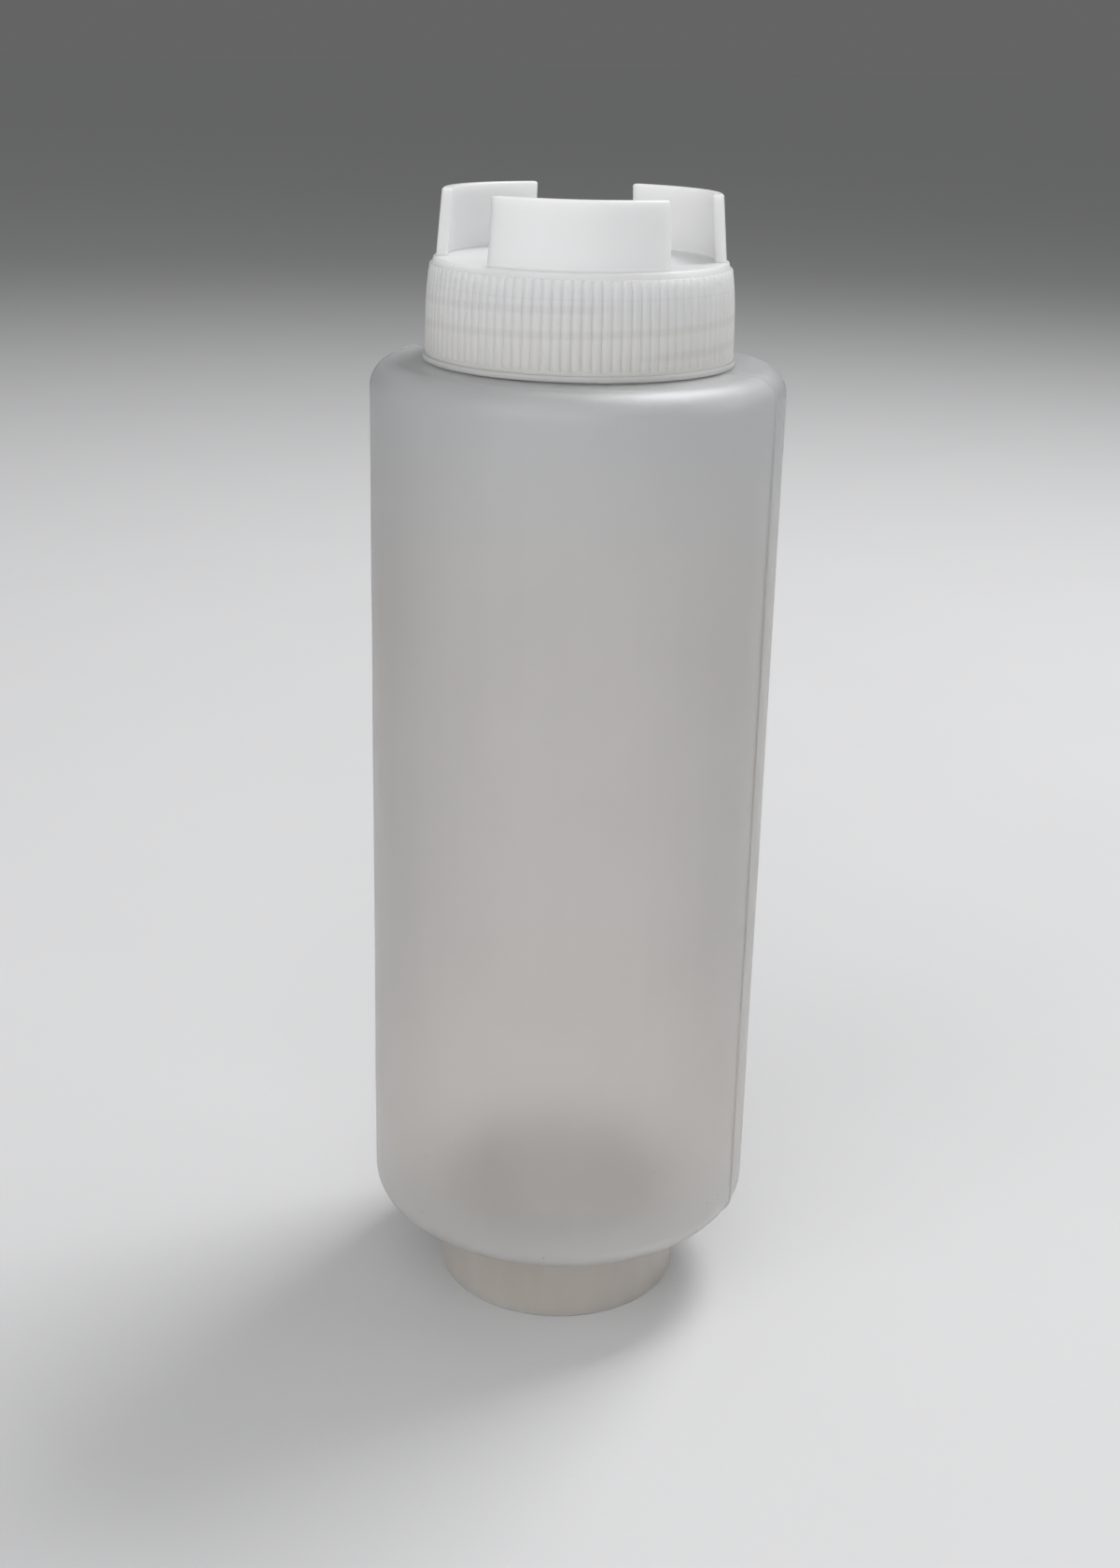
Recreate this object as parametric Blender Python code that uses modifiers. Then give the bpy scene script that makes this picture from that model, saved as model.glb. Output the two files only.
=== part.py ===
"""A two-ended squeeze dispenser for sauces, modelled as the pieces it comes apart into.

The bottle stands on its small refill cap. The dispensing cap on top carries a slit silicone
valve and three legs, on which the bottle stands when it is turned over. Every round piece
turns about the Z axis, and the floor is at z = 0. One leg is centred on the -Y side.
Lengths are in metres and angles in radians.
"""

import math

import bmesh
import bpy
from mathutils import Matrix, Vector

# Clearances between pieces
SEAT_GAP = 0.0003          # between faces that rest on each other
THREAD_ROOM = 0.00155      # radial space between a neck and its cap, which the threads fill
RIM_GAP = 0.0004           # between the refill cap's rim and the shoulder above it

# Bottle
BODY_RADIUS = 0.038
BODY_LENGTH = 0.1694       # from shoulder to shoulder
BODY_WALL = 0.0012
SHOULDER_REACH = 0.0046    # how far the shoulder's rounding reaches in from the side
SHOULDER_DROP = 0.0049     # how far it reaches along the side
NECK_WALL = 0.0015
NECK_ROOT_FILLET = 0.0006
LAND_EDGE = 0.0003         # bevel on the sealing land at the end of a neck
DISPENSING_NECK_RADIUS = 0.02395
DISPENSING_NECK_HEIGHT = 0.0157
REFILL_NECK_RADIUS = 0.0211
REFILL_NECK_HEIGHT = 0.0153

# Dispensing cap
DECK_THICKNESS = 0.0023
DECK_EDGE = 0.0003
SKIRT_WALL = 0.00252       # from the bore to the rib crests at the rim
SKIRT_DRAFT = 0.00022      # radius lost evenly from the lowest to the highest point of the ribs
SKIRT_CROWN = 0.00065      # further radius lost in a curve towards the top
SKIRT_CORNER_REACH = 0.0009
SKIRT_CORNER_DROP = 0.0021
MOUTH_BEVEL = 0.0004
RIB_COUNT = 100
RIB_DEPTH = 0.00038
RIB_BED = 0.00009          # how far the plain skirt lies below the rib valleys
RIB_FLAT_SHARE = 0.5       # share of the rib pitch that its crest takes
LIP_HEIGHT = 0.00105
LIP_PROJECTION = 0.00038
LIP_EDGE = 0.00022
BAND_HEIGHT = 0.0007       # smooth band between the lip and the ribs
BAND_PROJECTION = 0.00004
COLLAR_HEIGHT = 0.0012     # smooth collar between the ribs and the deck
COLLAR_DRAFT = 0.00018
PLUG_WALL = 0.0011         # seal ring that enters the neck
PLUG_DEPTH = 0.0022
PLUG_TAPER = 0.0003

# Stand legs on the deck
LEG_COUNT = 3
LEG_ARC = math.radians(75.0)
LEG_HEIGHT = 0.0116
LEG_WALL = 0.002
LEG_LEAN = 0.00105         # how far a leg leans inwards over its height
LEG_SETBACK = 0.0005       # ledge between a leg and the deck's edge
LEG_EDGE = 0.00045
LEG_ROOT = 0.001           # how deep a leg is rooted in the deck

# Valve and its seat below the deck
VALVE_FLANGE_RADIUS = 0.0131
VALVE_FLANGE_THICKNESS = 0.0016
VALVE_SLEEVE_RADIUS = 0.0086
VALVE_SLEEVE_WALL = 0.0006
VALVE_HEAD_RISE = 0.0022   # head rim above the flange
VALVE_DISH_DEPTH = 0.0014
VALVE_HEAD_THICKNESS = 0.0011
VALVE_EDGE = 0.0003
SLIT_LENGTH = 0.0085
SLIT_WIDTH = 0.00025
OUTLET_CLEARANCE = 0.0005  # between the valve's sleeve and the hole in the deck
CUP_WALL = 0.0014
CUP_SKIRT = 0.0006         # how far the seat's wall reaches below the clamp ring
RING_HEIGHT = 0.0025
RING_FUNNEL = 0.0006
RING_EDGE = 0.0002
SNAP_HEIGHT = 0.0009
SNAP_DEPTH = 0.00035

# Refill cap and its liner
REFILL_CAP_FLOOR = 0.0018
REFILL_CAP_WALL = 0.00185
REFILL_CAP_DRAFT = 0.00015
REFILL_CAP_EDGE = 0.0005
REFILL_CAP_FILLET = 0.0006
LINER_THICKNESS = 0.001

# Fineness of the round forms
BODY_STEPS = 60
CAP_STEPS = 64
CORE_STEPS = 56
VALVE_STEPS = 32
LEG_STEPS = 12
OUTER_CORNER_STEPS = 5
INNER_CORNER_STEPS = 4
DISH_STEPS = 4
EDGE_STEPS = 2
RIB_LEVEL_SHARES = (0.0, 0.5, 0.82, 1.0)

CUT_OVERRUN = 0.002        # how far a cutter runs past the solid that it cuts
MERGE_DISTANCE = 0.000001
SHARP_ANGLE = math.radians(32.0)
FULL_TURN = math.tau
QUARTER_TURN = math.pi / 2.0

# Heights above the floor, worked out from the pieces that stack up on each other
LINER_Z = REFILL_CAP_FLOOR + SEAT_GAP
BOTTLE_Z = LINER_Z + LINER_THICKNESS + SEAT_GAP
LOWER_SHOULDER_Z = BOTTLE_Z + REFILL_NECK_HEIGHT
UPPER_SHOULDER_Z = LOWER_SHOULDER_Z + BODY_LENGTH
DISPENSING_CAP_Z = UPPER_SHOULDER_Z + SEAT_GAP

# Sizes inside the dispensing cap, measured up from its rim
DECK_UNDERSIDE = DISPENSING_NECK_HEIGHT
DECK_TOP = DECK_UNDERSIDE + DECK_THICKNESS
RIB_LOW = LIP_HEIGHT + BAND_HEIGHT
RIB_HIGH = DECK_TOP - COLLAR_HEIGHT
SKIRT_BORE = DISPENSING_NECK_RADIUS + THREAD_ROOM
CREST_RADIUS = SKIRT_BORE + SKIRT_WALL
COLLAR_FOOT_RADIUS = CREST_RADIUS - SKIRT_DRAFT - SKIRT_CROWN - RIB_DEPTH - RIB_BED
COLLAR_TOP_RADIUS = COLLAR_FOOT_RADIUS - COLLAR_DRAFT
CUP_BORE = VALVE_FLANGE_RADIUS + SEAT_GAP
OUTLET_RADIUS = VALVE_SLEEVE_RADIUS + OUTLET_CLEARANCE
FLANGE_Z = DECK_UNDERSIDE - SEAT_GAP - VALVE_FLANGE_THICKNESS
RING_Z = FLANGE_Z - SEAT_GAP - RING_HEIGHT
CUP_RIM = RING_Z - CUP_SKIRT
SNAP_MIDDLE = RING_Z + RING_HEIGHT / 2.0

# Finishes: colour, roughness and metallic value
FINISHES = {
    "bottle_body": ((0.66, 0.66, 0.64), 0.32, 0.0),
    "dispensing_cap": ((0.83, 0.82, 0.80), 0.38, 0.0),
    "dispensing_valve": ((0.86, 0.86, 0.85), 0.55, 0.0),
    "valve_clamp_ring": ((0.80, 0.80, 0.78), 0.40, 0.0),
    "refill_cap": ((0.62, 0.61, 0.59), 0.35, 0.0),
    "refill_cap_liner": ((0.88, 0.88, 0.86), 0.80, 0.0),
}


def clear_scene():
    """Remove the objects that a new file starts with."""
    for obj in list(bpy.data.objects):
        bpy.data.objects.remove(obj, do_unlink=True)


def make_collection(name):
    """Link a new collection to the scene."""
    collection = bpy.data.collections.new(name)
    bpy.context.scene.collection.children.link(collection)
    return collection


def arc(centre, radii, start, end, steps):
    """Points (radius, height) on an elliptical arc between two angles, both ends included."""
    points = []
    for step in range(steps + 1):
        angle = start + (end - start) * step / steps
        points.append((centre[0] + radii[0] * math.cos(angle), centre[1] + radii[1] * math.sin(angle)))
    return points


def add_object(name, mesh, collection, height=0.0):
    """Make an object whose origin lies on the Z axis at a height."""
    obj = bpy.data.objects.new(name, mesh)
    obj.location.z = height
    collection.objects.link(obj)
    return obj


def turned(name, outline, steps, collection, height=0.0):
    """Turn a closed outline, which runs down its outer side, once round the Z axis."""
    mesh = bpy.data.meshes.new(name)
    count = len(outline)
    loop_is_open = outline[0][0] == 0.0 and outline[-1][0] == 0.0
    edge_count = count - 1 if loop_is_open else count
    edges = [(index, (index + 1) % count) for index in range(edge_count)]
    mesh.from_pydata([(radius, 0.0, z) for radius, z in outline], edges, [])
    obj = add_object(name, mesh, collection, height)
    screw = obj.modifiers.new("turn", "SCREW")
    screw.axis = "Z"
    screw.angle = FULL_TURN
    screw.steps = steps
    screw.render_steps = steps
    screw.use_merge_vertices = True
    screw.merge_threshold = MERGE_DISTANCE
    screw.use_normal_calculate = False
    return obj


def mark_cutter(obj):
    """Show a helper solid as a wire that isn't rendered."""
    obj.hide_render = True
    obj.display_type = "WIRE"
    return obj


def combine(obj, other, operation):
    """Join a helper solid to an object, or cut it away."""
    boolean = obj.modifiers.new(operation.lower() + "_" + other.name, "BOOLEAN")
    boolean.operation = operation
    boolean.solver = "EXACT"
    boolean.object = mark_cutter(other)


def settle(obj):
    """Turn an object's modifiers into its mesh and shade its round faces smooth."""
    depsgraph = bpy.context.evaluated_depsgraph_get()
    mesh = bpy.data.meshes.new_from_object(obj.evaluated_get(depsgraph))
    mesh.name = obj.name
    obj.modifiers.clear()
    obj.data = mesh
    mesh.shade_smooth()
    mesh.set_sharp_from_angle(angle=SHARP_ANGLE)
    return obj


def paint(obj):
    """Give a piece its own material."""
    colour, roughness, metallic = FINISHES[obj.name]
    material = bpy.data.materials.new(obj.name)
    material.use_nodes = True
    shader = material.node_tree.nodes["Principled BSDF"]
    shader.inputs["Base Color"].default_value = (*colour, 1.0)
    shader.inputs["Roughness"].default_value = roughness
    shader.inputs["Metallic"].default_value = metallic
    material.diffuse_color = (*colour, 1.0)
    obj.data.materials.clear()
    obj.data.materials.append(material)
    return obj


def bottle_outline():
    """Section of the bottle's wall, measured up from the end of the refill neck."""
    lower = REFILL_NECK_HEIGHT
    upper = lower + BODY_LENGTH
    top = upper + DISPENSING_NECK_HEIGHT
    fillet = NECK_ROOT_FILLET
    corner_radius = BODY_RADIUS - SHOULDER_REACH
    outer_corner = (SHOULDER_REACH, SHOULDER_DROP)
    inner_corner = (SHOULDER_REACH - BODY_WALL, SHOULDER_DROP - BODY_WALL)
    upper_centre = (corner_radius, upper - SHOULDER_DROP)
    lower_centre = (corner_radius, lower + SHOULDER_DROP)
    upper_bore = DISPENSING_NECK_RADIUS - NECK_WALL
    lower_bore = REFILL_NECK_RADIUS - NECK_WALL

    outline = [
        (upper_bore + LAND_EDGE, top),
        (DISPENSING_NECK_RADIUS - LAND_EDGE, top),
        (DISPENSING_NECK_RADIUS, top - LAND_EDGE),
        (DISPENSING_NECK_RADIUS, upper + fillet),
        (DISPENSING_NECK_RADIUS + fillet, upper),
    ]
    outline += arc(upper_centre, outer_corner, QUARTER_TURN, 0.0, OUTER_CORNER_STEPS)
    outline += arc(lower_centre, outer_corner, 0.0, -QUARTER_TURN, OUTER_CORNER_STEPS)
    outline += [
        (REFILL_NECK_RADIUS + fillet, lower),
        (REFILL_NECK_RADIUS, lower - fillet),
        (REFILL_NECK_RADIUS, LAND_EDGE),
        (REFILL_NECK_RADIUS - LAND_EDGE, 0.0),
        (lower_bore + LAND_EDGE, 0.0),
        (lower_bore, LAND_EDGE),
        (lower_bore, lower + BODY_WALL - fillet),
        (lower_bore + fillet, lower + BODY_WALL),
    ]
    outline += arc(lower_centre, inner_corner, -QUARTER_TURN, 0.0, INNER_CORNER_STEPS)
    outline += arc(upper_centre, inner_corner, 0.0, QUARTER_TURN, INNER_CORNER_STEPS)
    outline += [
        (upper_bore + fillet, upper - BODY_WALL),
        (upper_bore, upper - BODY_WALL + fillet),
        (upper_bore, top - LAND_EDGE),
    ]
    return outline


def cap_outer_outline():
    """Outside of the dispensing cap without its ribs and legs, as a full solid."""
    band_radius = CREST_RADIUS + BAND_PROJECTION
    lip_radius = CREST_RADIUS + LIP_PROJECTION
    bed_foot_radius = CREST_RADIUS - RIB_DEPTH - RIB_BED - SKIRT_DRAFT
    return [
        (0.0, DECK_TOP),
        (COLLAR_TOP_RADIUS - DECK_EDGE, DECK_TOP),
        (COLLAR_TOP_RADIUS, DECK_TOP - DECK_EDGE),
        (COLLAR_FOOT_RADIUS, RIB_HIGH),
        (bed_foot_radius, RIB_LOW),
        (band_radius, RIB_LOW),
        (band_radius, LIP_HEIGHT),
        (lip_radius - LIP_EDGE, LIP_HEIGHT),
        (lip_radius, LIP_HEIGHT - LIP_EDGE),
        (lip_radius, LIP_EDGE),
        (lip_radius - LIP_EDGE, 0.0),
        (0.0, 0.0),
    ]


def cap_core_outline():
    """Everything that is hollow in the dispensing cap, from its mouth to the valve's outlet."""
    mouth_radius = SKIRT_BORE + MOUTH_BEVEL
    corner_radius = SKIRT_BORE - SKIRT_CORNER_REACH
    corner_z = DECK_UNDERSIDE - SKIRT_CORNER_DROP
    plug_radius = DISPENSING_NECK_RADIUS - NECK_WALL - SEAT_GAP
    plug_bore = plug_radius - PLUG_WALL
    plug_rim = DECK_UNDERSIDE - PLUG_DEPTH
    cup_radius = CUP_BORE + CUP_WALL
    snap_half = SNAP_HEIGHT / 2.0 + SEAT_GAP
    return [
        (0.0, DECK_TOP + CUT_OVERRUN),
        (OUTLET_RADIUS + DECK_EDGE, DECK_TOP + CUT_OVERRUN),
        (OUTLET_RADIUS + DECK_EDGE, DECK_TOP),
        (OUTLET_RADIUS, DECK_TOP - DECK_EDGE),
        (OUTLET_RADIUS, DECK_UNDERSIDE),
        (CUP_BORE, DECK_UNDERSIDE),
        (CUP_BORE, SNAP_MIDDLE + snap_half),
        (CUP_BORE + SNAP_DEPTH, SNAP_MIDDLE),
        (CUP_BORE, SNAP_MIDDLE - snap_half),
        (CUP_BORE, CUP_RIM),
        (cup_radius, CUP_RIM),
        (cup_radius, DECK_UNDERSIDE),
        (plug_bore, DECK_UNDERSIDE),
        (plug_bore, plug_rim),
        (plug_radius - PLUG_TAPER, plug_rim),
        (plug_radius, DECK_UNDERSIDE),
        (corner_radius, DECK_UNDERSIDE),
        (SKIRT_BORE, corner_z),
        (SKIRT_BORE, MOUTH_BEVEL),
        (mouth_radius, 0.0),
        (mouth_radius, -CUT_OVERRUN),
        (0.0, -CUT_OVERRUN),
    ]


def skirt_radius(share):
    """Radius of the rib crests at a share of the ribs' height."""
    return CREST_RADIUS - SKIRT_DRAFT * share - SKIRT_CROWN * share ** 4


def rib_drum(collection):
    """Solid drum with upright ribs all round, which follows the skirt's draft and crown."""
    pitch = FULL_TURN / RIB_COUNT
    half_flat = pitch * RIB_FLAT_SHARE / 2.0
    foot = RIB_LOW - BAND_HEIGHT / 2.0
    shape = bmesh.new()
    levels = []
    for share in RIB_LEVEL_SHARES:
        crest = skirt_radius(share)
        height = foot + (RIB_HIGH - foot) * share
        ring = []
        for rib in range(RIB_COUNT):
            middle = rib * pitch
            corners = (
                (crest, middle - half_flat),
                (crest, middle + half_flat),
                (crest - RIB_DEPTH, middle + pitch / 2.0),
            )
            for radius, angle in corners:
                place = (radius * math.cos(angle), radius * math.sin(angle), height)
                ring.append(shape.verts.new(place))
        levels.append(ring)
    count = len(levels[0])
    for below, above in zip(levels[:-1], levels[1:]):
        for index in range(count):
            following = (index + 1) % count
            shape.faces.new((below[index], below[following], above[following], above[index]))
    shape.faces.new(levels[-1])
    shape.faces.new(reversed(levels[0]))
    mesh = bpy.data.meshes.new("rib_drum")
    shape.to_mesh(mesh)
    shape.free()
    return add_object("rib_drum", mesh, collection, DISPENSING_CAP_Z)


def stand_leg(name, middle_angle, collection):
    """One curved leg: a leaning wall swept along an arc, with all its edges rounded."""
    outer_foot = COLLAR_TOP_RADIUS - LEG_SETBACK
    lean_at_root = LEG_LEAN * LEG_ROOT / LEG_HEIGHT
    low = DECK_TOP - LEG_ROOT
    high = DECK_TOP + LEG_HEIGHT
    section = (
        (outer_foot + lean_at_root, low),
        (outer_foot - LEG_LEAN, high),
        (outer_foot - LEG_LEAN - LEG_WALL, high),
        (outer_foot + lean_at_root - LEG_WALL, low),
    )
    shape = bmesh.new()
    corners = [shape.verts.new((radius, 0.0, z)) for radius, z in section]
    start_face = shape.faces.new(corners)
    bmesh.ops.rotate(shape, verts=corners, matrix=Matrix.Rotation(middle_angle - LEG_ARC / 2.0, 3, "Z"))
    bmesh.ops.spin(
        shape,
        geom=[start_face, *corners, *start_face.edges],
        cent=Vector(),
        axis=Vector((0.0, 0.0, 1.0)),
        angle=LEG_ARC,
        steps=LEG_STEPS,
    )
    bmesh.ops.holes_fill(shape, edges=shape.edges, sides=len(section))
    bmesh.ops.recalc_face_normals(shape, faces=shape.faces)
    mesh = bpy.data.meshes.new(name)
    shape.to_mesh(mesh)
    shape.free()
    leg = add_object(name, mesh, collection, DISPENSING_CAP_Z)
    bevel = leg.modifiers.new("rounded_edges", "BEVEL")
    bevel.width = LEG_EDGE
    bevel.segments = EDGE_STEPS
    bevel.limit_method = "ANGLE"
    bevel.angle_limit = SHARP_ANGLE
    return leg


def valve_outline():
    """Section of the silicone valve, measured up from the underside of its flange."""
    head_rim = VALVE_FLANGE_THICKNESS + VALVE_HEAD_RISE
    sleeve_bore = VALVE_SLEEVE_RADIUS - VALVE_SLEEVE_WALL
    dish_radius = sleeve_bore - VALVE_EDGE
    dish = (dish_radius, VALVE_DISH_DEPTH)
    outline = arc((0.0, head_rim), dish, -QUARTER_TURN, 0.0, DISH_STEPS)
    outline[0] = (0.0, head_rim - VALVE_DISH_DEPTH)
    outline += [
        (VALVE_SLEEVE_RADIUS - VALVE_EDGE, head_rim),
        (VALVE_SLEEVE_RADIUS, head_rim - VALVE_EDGE),
        (VALVE_SLEEVE_RADIUS, VALVE_FLANGE_THICKNESS),
        (VALVE_FLANGE_RADIUS - VALVE_EDGE, VALVE_FLANGE_THICKNESS),
        (VALVE_FLANGE_RADIUS, VALVE_FLANGE_THICKNESS - VALVE_EDGE),
        (VALVE_FLANGE_RADIUS, VALVE_EDGE),
        (VALVE_FLANGE_RADIUS - VALVE_EDGE, 0.0),
        (sleeve_bore + VALVE_EDGE, 0.0),
        (sleeve_bore, VALVE_EDGE),
    ]
    underside = arc((0.0, head_rim - VALVE_HEAD_THICKNESS), dish, 0.0, -QUARTER_TURN, DISH_STEPS)
    underside[0] = (sleeve_bore, head_rim - VALVE_HEAD_THICKNESS)
    underside[-1] = (0.0, head_rim - VALVE_HEAD_THICKNESS - VALVE_DISH_DEPTH)
    return outline + underside


def slit_blade(name, turn, collection, height):
    """Thin upright blade that cuts one arm of the valve's cross slit."""
    depth = VALVE_FLANGE_THICKNESS + VALVE_HEAD_RISE + CUT_OVERRUN
    shape = bmesh.new()
    bmesh.ops.create_cube(shape, size=1.0)
    bmesh.ops.scale(shape, vec=(SLIT_LENGTH, SLIT_WIDTH, 2.0 * depth), verts=shape.verts)
    bmesh.ops.rotate(shape, verts=shape.verts, matrix=Matrix.Rotation(turn, 3, "Z"))
    mesh = bpy.data.meshes.new(name)
    shape.to_mesh(mesh)
    shape.free()
    return add_object(name, mesh, collection, height)


def ring_outline():
    """Section of the clamp ring, with a funnel in its bore and a snap bead round its middle."""
    radius = VALVE_FLANGE_RADIUS
    bore = VALVE_SLEEVE_RADIUS - VALVE_SLEEVE_WALL
    middle = RING_HEIGHT / 2.0
    half_snap = SNAP_HEIGHT / 2.0
    return [
        (bore, RING_HEIGHT),
        (radius - RING_EDGE, RING_HEIGHT),
        (radius, RING_HEIGHT - RING_EDGE),
        (radius, middle + half_snap),
        (radius + SNAP_DEPTH, middle),
        (radius, middle - half_snap),
        (radius, RING_EDGE),
        (radius - RING_EDGE, 0.0),
        (bore + RING_FUNNEL, 0.0),
        (bore, RING_FUNNEL),
    ]


def refill_cap_outline():
    """Section of the refill cap: a cup whose closed end is the foot of the bottle."""
    bore = REFILL_NECK_RADIUS + THREAD_ROOM
    rim = LOWER_SHOULDER_Z - RIM_GAP
    rim_radius = bore + REFILL_CAP_WALL
    foot_radius = rim_radius - REFILL_CAP_DRAFT
    edge = REFILL_CAP_EDGE
    fillet = REFILL_CAP_FILLET
    outline = [
        (0.0, REFILL_CAP_FLOOR),
        (bore - fillet, REFILL_CAP_FLOOR),
        (bore, REFILL_CAP_FLOOR + fillet),
        (bore, rim - MOUTH_BEVEL),
        (bore + MOUTH_BEVEL, rim),
        (rim_radius - MOUTH_BEVEL, rim),
        (rim_radius, rim - MOUTH_BEVEL),
    ]
    outline += arc((foot_radius - edge, edge), (edge, edge), 0.0, -QUARTER_TURN, EDGE_STEPS)
    outline.append((0.0, 0.0))
    return outline


def liner_outline():
    """Section of the flat disc that seals the refill neck."""
    radius = REFILL_NECK_RADIUS + THREAD_ROOM - REFILL_CAP_FILLET - SEAT_GAP
    return [
        (0.0, LINER_THICKNESS),
        (radius, LINER_THICKNESS),
        (radius, 0.0),
        (0.0, 0.0),
    ]


def build_dispensing_cap(pieces, cutters):
    """Full solid, ribs and legs joined, then the core cut out."""
    cap = turned("dispensing_cap", cap_outer_outline(), CAP_STEPS, pieces, DISPENSING_CAP_Z)
    combine(cap, rib_drum(cutters), "UNION")
    for index in range(LEG_COUNT):
        middle = -QUARTER_TURN + FULL_TURN * index / LEG_COUNT
        combine(cap, stand_leg(f"stand_leg_{index + 1}", middle, cutters), "UNION")
    core = turned("cap_core", cap_core_outline(), CORE_STEPS, cutters, DISPENSING_CAP_Z)
    combine(cap, core, "DIFFERENCE")
    return cap


def build_valve(pieces, cutters):
    """Valve with its cross slit, seated under the deck."""
    height = DISPENSING_CAP_Z + FLANGE_Z
    valve = turned("dispensing_valve", valve_outline(), VALVE_STEPS, pieces, height)
    for index in range(2):
        blade = slit_blade(f"slit_blade_{index + 1}", QUARTER_TURN * index, cutters, height)
        combine(valve, blade, "DIFFERENCE")
    return valve


def build():
    """Make every piece of the dispenser where it sits when both caps are screwed home."""
    clear_scene()
    pieces = make_collection("condiment_dispenser")
    cutters = make_collection("cutters")
    made = [
        turned("bottle_body", bottle_outline(), BODY_STEPS, pieces, BOTTLE_Z),
        build_dispensing_cap(pieces, cutters),
        build_valve(pieces, cutters),
        turned("valve_clamp_ring", ring_outline(), VALVE_STEPS, pieces, DISPENSING_CAP_Z + RING_Z),
        turned("refill_cap", refill_cap_outline(), CORE_STEPS, pieces),
        turned("refill_cap_liner", liner_outline(), CORE_STEPS, pieces, LINER_Z),
    ]
    for piece in made:
        paint(settle(piece))


build()
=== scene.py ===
"""Looks of a milky two-ended squeeze dispenser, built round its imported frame.

Every round piece turns about the Z axis. Lengths are in metres and angles in radians. Each
visible piece stands for one CAD node and lies where that node is: the functions below turn an
outline round the axis, sweep ridges along paths on it, and join or cut what belongs to it.
"""

import math

import bmesh
import bpy
from mathutils import Matrix, Vector


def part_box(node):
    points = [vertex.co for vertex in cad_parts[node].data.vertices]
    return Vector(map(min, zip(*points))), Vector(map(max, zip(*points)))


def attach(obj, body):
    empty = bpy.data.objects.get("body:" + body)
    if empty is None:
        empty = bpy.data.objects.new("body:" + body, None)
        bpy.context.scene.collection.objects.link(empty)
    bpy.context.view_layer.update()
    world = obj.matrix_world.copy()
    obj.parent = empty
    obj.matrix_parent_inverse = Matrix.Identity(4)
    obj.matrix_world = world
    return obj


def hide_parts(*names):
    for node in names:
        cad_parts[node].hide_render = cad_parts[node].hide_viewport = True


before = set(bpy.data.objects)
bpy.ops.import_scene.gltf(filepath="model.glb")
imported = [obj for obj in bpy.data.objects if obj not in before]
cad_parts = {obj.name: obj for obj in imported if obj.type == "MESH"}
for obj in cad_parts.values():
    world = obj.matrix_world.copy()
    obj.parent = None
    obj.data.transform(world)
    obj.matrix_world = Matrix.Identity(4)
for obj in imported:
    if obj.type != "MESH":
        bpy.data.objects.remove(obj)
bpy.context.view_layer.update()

FULL_TURN = math.tau
QUARTER_TURN = math.pi / 2.0

# Places read from the frame
bottle_low, bottle_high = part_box("bottle_body")
cap_low, cap_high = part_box("dispensing_cap")
valve_low, valve_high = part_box("dispensing_valve")
ring_low, ring_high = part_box("valve_clamp_ring")
foot_low, foot_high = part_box("refill_cap")
liner_low, liner_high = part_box("refill_cap_liner")

# Clearances
SEAT_GAP = 0.0003
THREAD_ROOM = 0.00155

# Bottle
BODY_RADIUS = bottle_high.x
BODY_WALL = 0.0012
SHOULDER_REACH = 0.0046
SHOULDER_DROP = 0.0049
NECK_WALL = 0.0015
NECK_ROOT_FILLET = 0.0006
LAND_EDGE = 0.0003
DISPENSING_NECK_RADIUS = 0.02395
DISPENSING_NECK_HEIGHT = 0.0157
REFILL_NECK_RADIUS = 0.0211
REFILL_NECK_HEIGHT = 0.0153
LOWER_SHOULDER_Z = bottle_low.z + REFILL_NECK_HEIGHT
UPPER_SHOULDER_Z = bottle_high.z - DISPENSING_NECK_HEIGHT
WALL_WAVE = 0.00016        # how far the blown wall strays from a true cylinder
WALL_WAVE_SCALE = 28.0     # waves a metre
WAVE_FADE_DROPS = 3.0      # shoulder heights over which the waves grow from nothing
SEAM_AZIMUTH = math.radians(67.9)
SEAM_FOOT = 0.0010
SEAM_CREST = 0.0004
SEAM_HEIGHT = 0.0003
SEAM_SINK = SEAM_HEIGHT * 2.5

# Screw threads: one profile and one pitch for both necks and both caps
THREAD_PITCH = 0.004233
THREAD_FOOT = 0.0025
THREAD_CREST = 0.0010
THREAD_HEIGHT = 0.00112
THREAD_SINK = 0.0003
THREAD_TAPER_TURNS = 0.07
THREAD_ROUNDING = 0.00025
NECK_THREAD_TURNS = 2.03
NECK_THREAD_START = math.radians(11.0)    # azimuth of its lower end, from the -Y side towards +X
NECK_THREAD_START_RISE = 0.0040           # height of that end above the shoulder
NECK_SHOWS = 0.0035                       # height below the neck's end over which the skirt's painted shade lifts
CAP_THREAD_TURNS = 1.6
REFILL_CAP_THREAD_TURNS = 1.2
CAP_THREAD_LAG = 0.28                     # turns by which a cap's thread starts after its neck's

# Dispensing cap
DECK_THICKNESS = 0.0023
SKIRT_WALL = 0.00252
SKIRT_DRAFT = 0.00022
SKIRT_CROWN = 0.00065
SKIRT_CORNER_REACH = 0.0009
SKIRT_CORNER_DROP = 0.0021
MOUTH_BEVEL = 0.0004
EDGE = 0.00015             # rounding of the moulded edges that have none of their own
RIB_COUNT = 100
RIB_DEPTH = 0.00038
RIB_FLAT_SHARE = 0.6
RIB_END = 0.00008          # bevel at the top of a rib
RIB_LEVELS = 9
LIP_HEIGHT = 0.00105
LIP_PROJECTION = 0.00038
LIP_ROUNDING = 0.00034
BAND_HEIGHT = 0.0007
BAND_PROJECTION = 0.00004
COLLAR_HEIGHT = 0.0012
COLLAR_DRAFT = 0.00018
COLLAR_SETBACK = 0.00009   # from the rib valleys at the ribs' tops
DECK_ROUNDING = 0.0004
PLUG_WALL = 0.0011
PLUG_DEPTH = 0.0022
PLUG_TAPER = 0.0003

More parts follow.
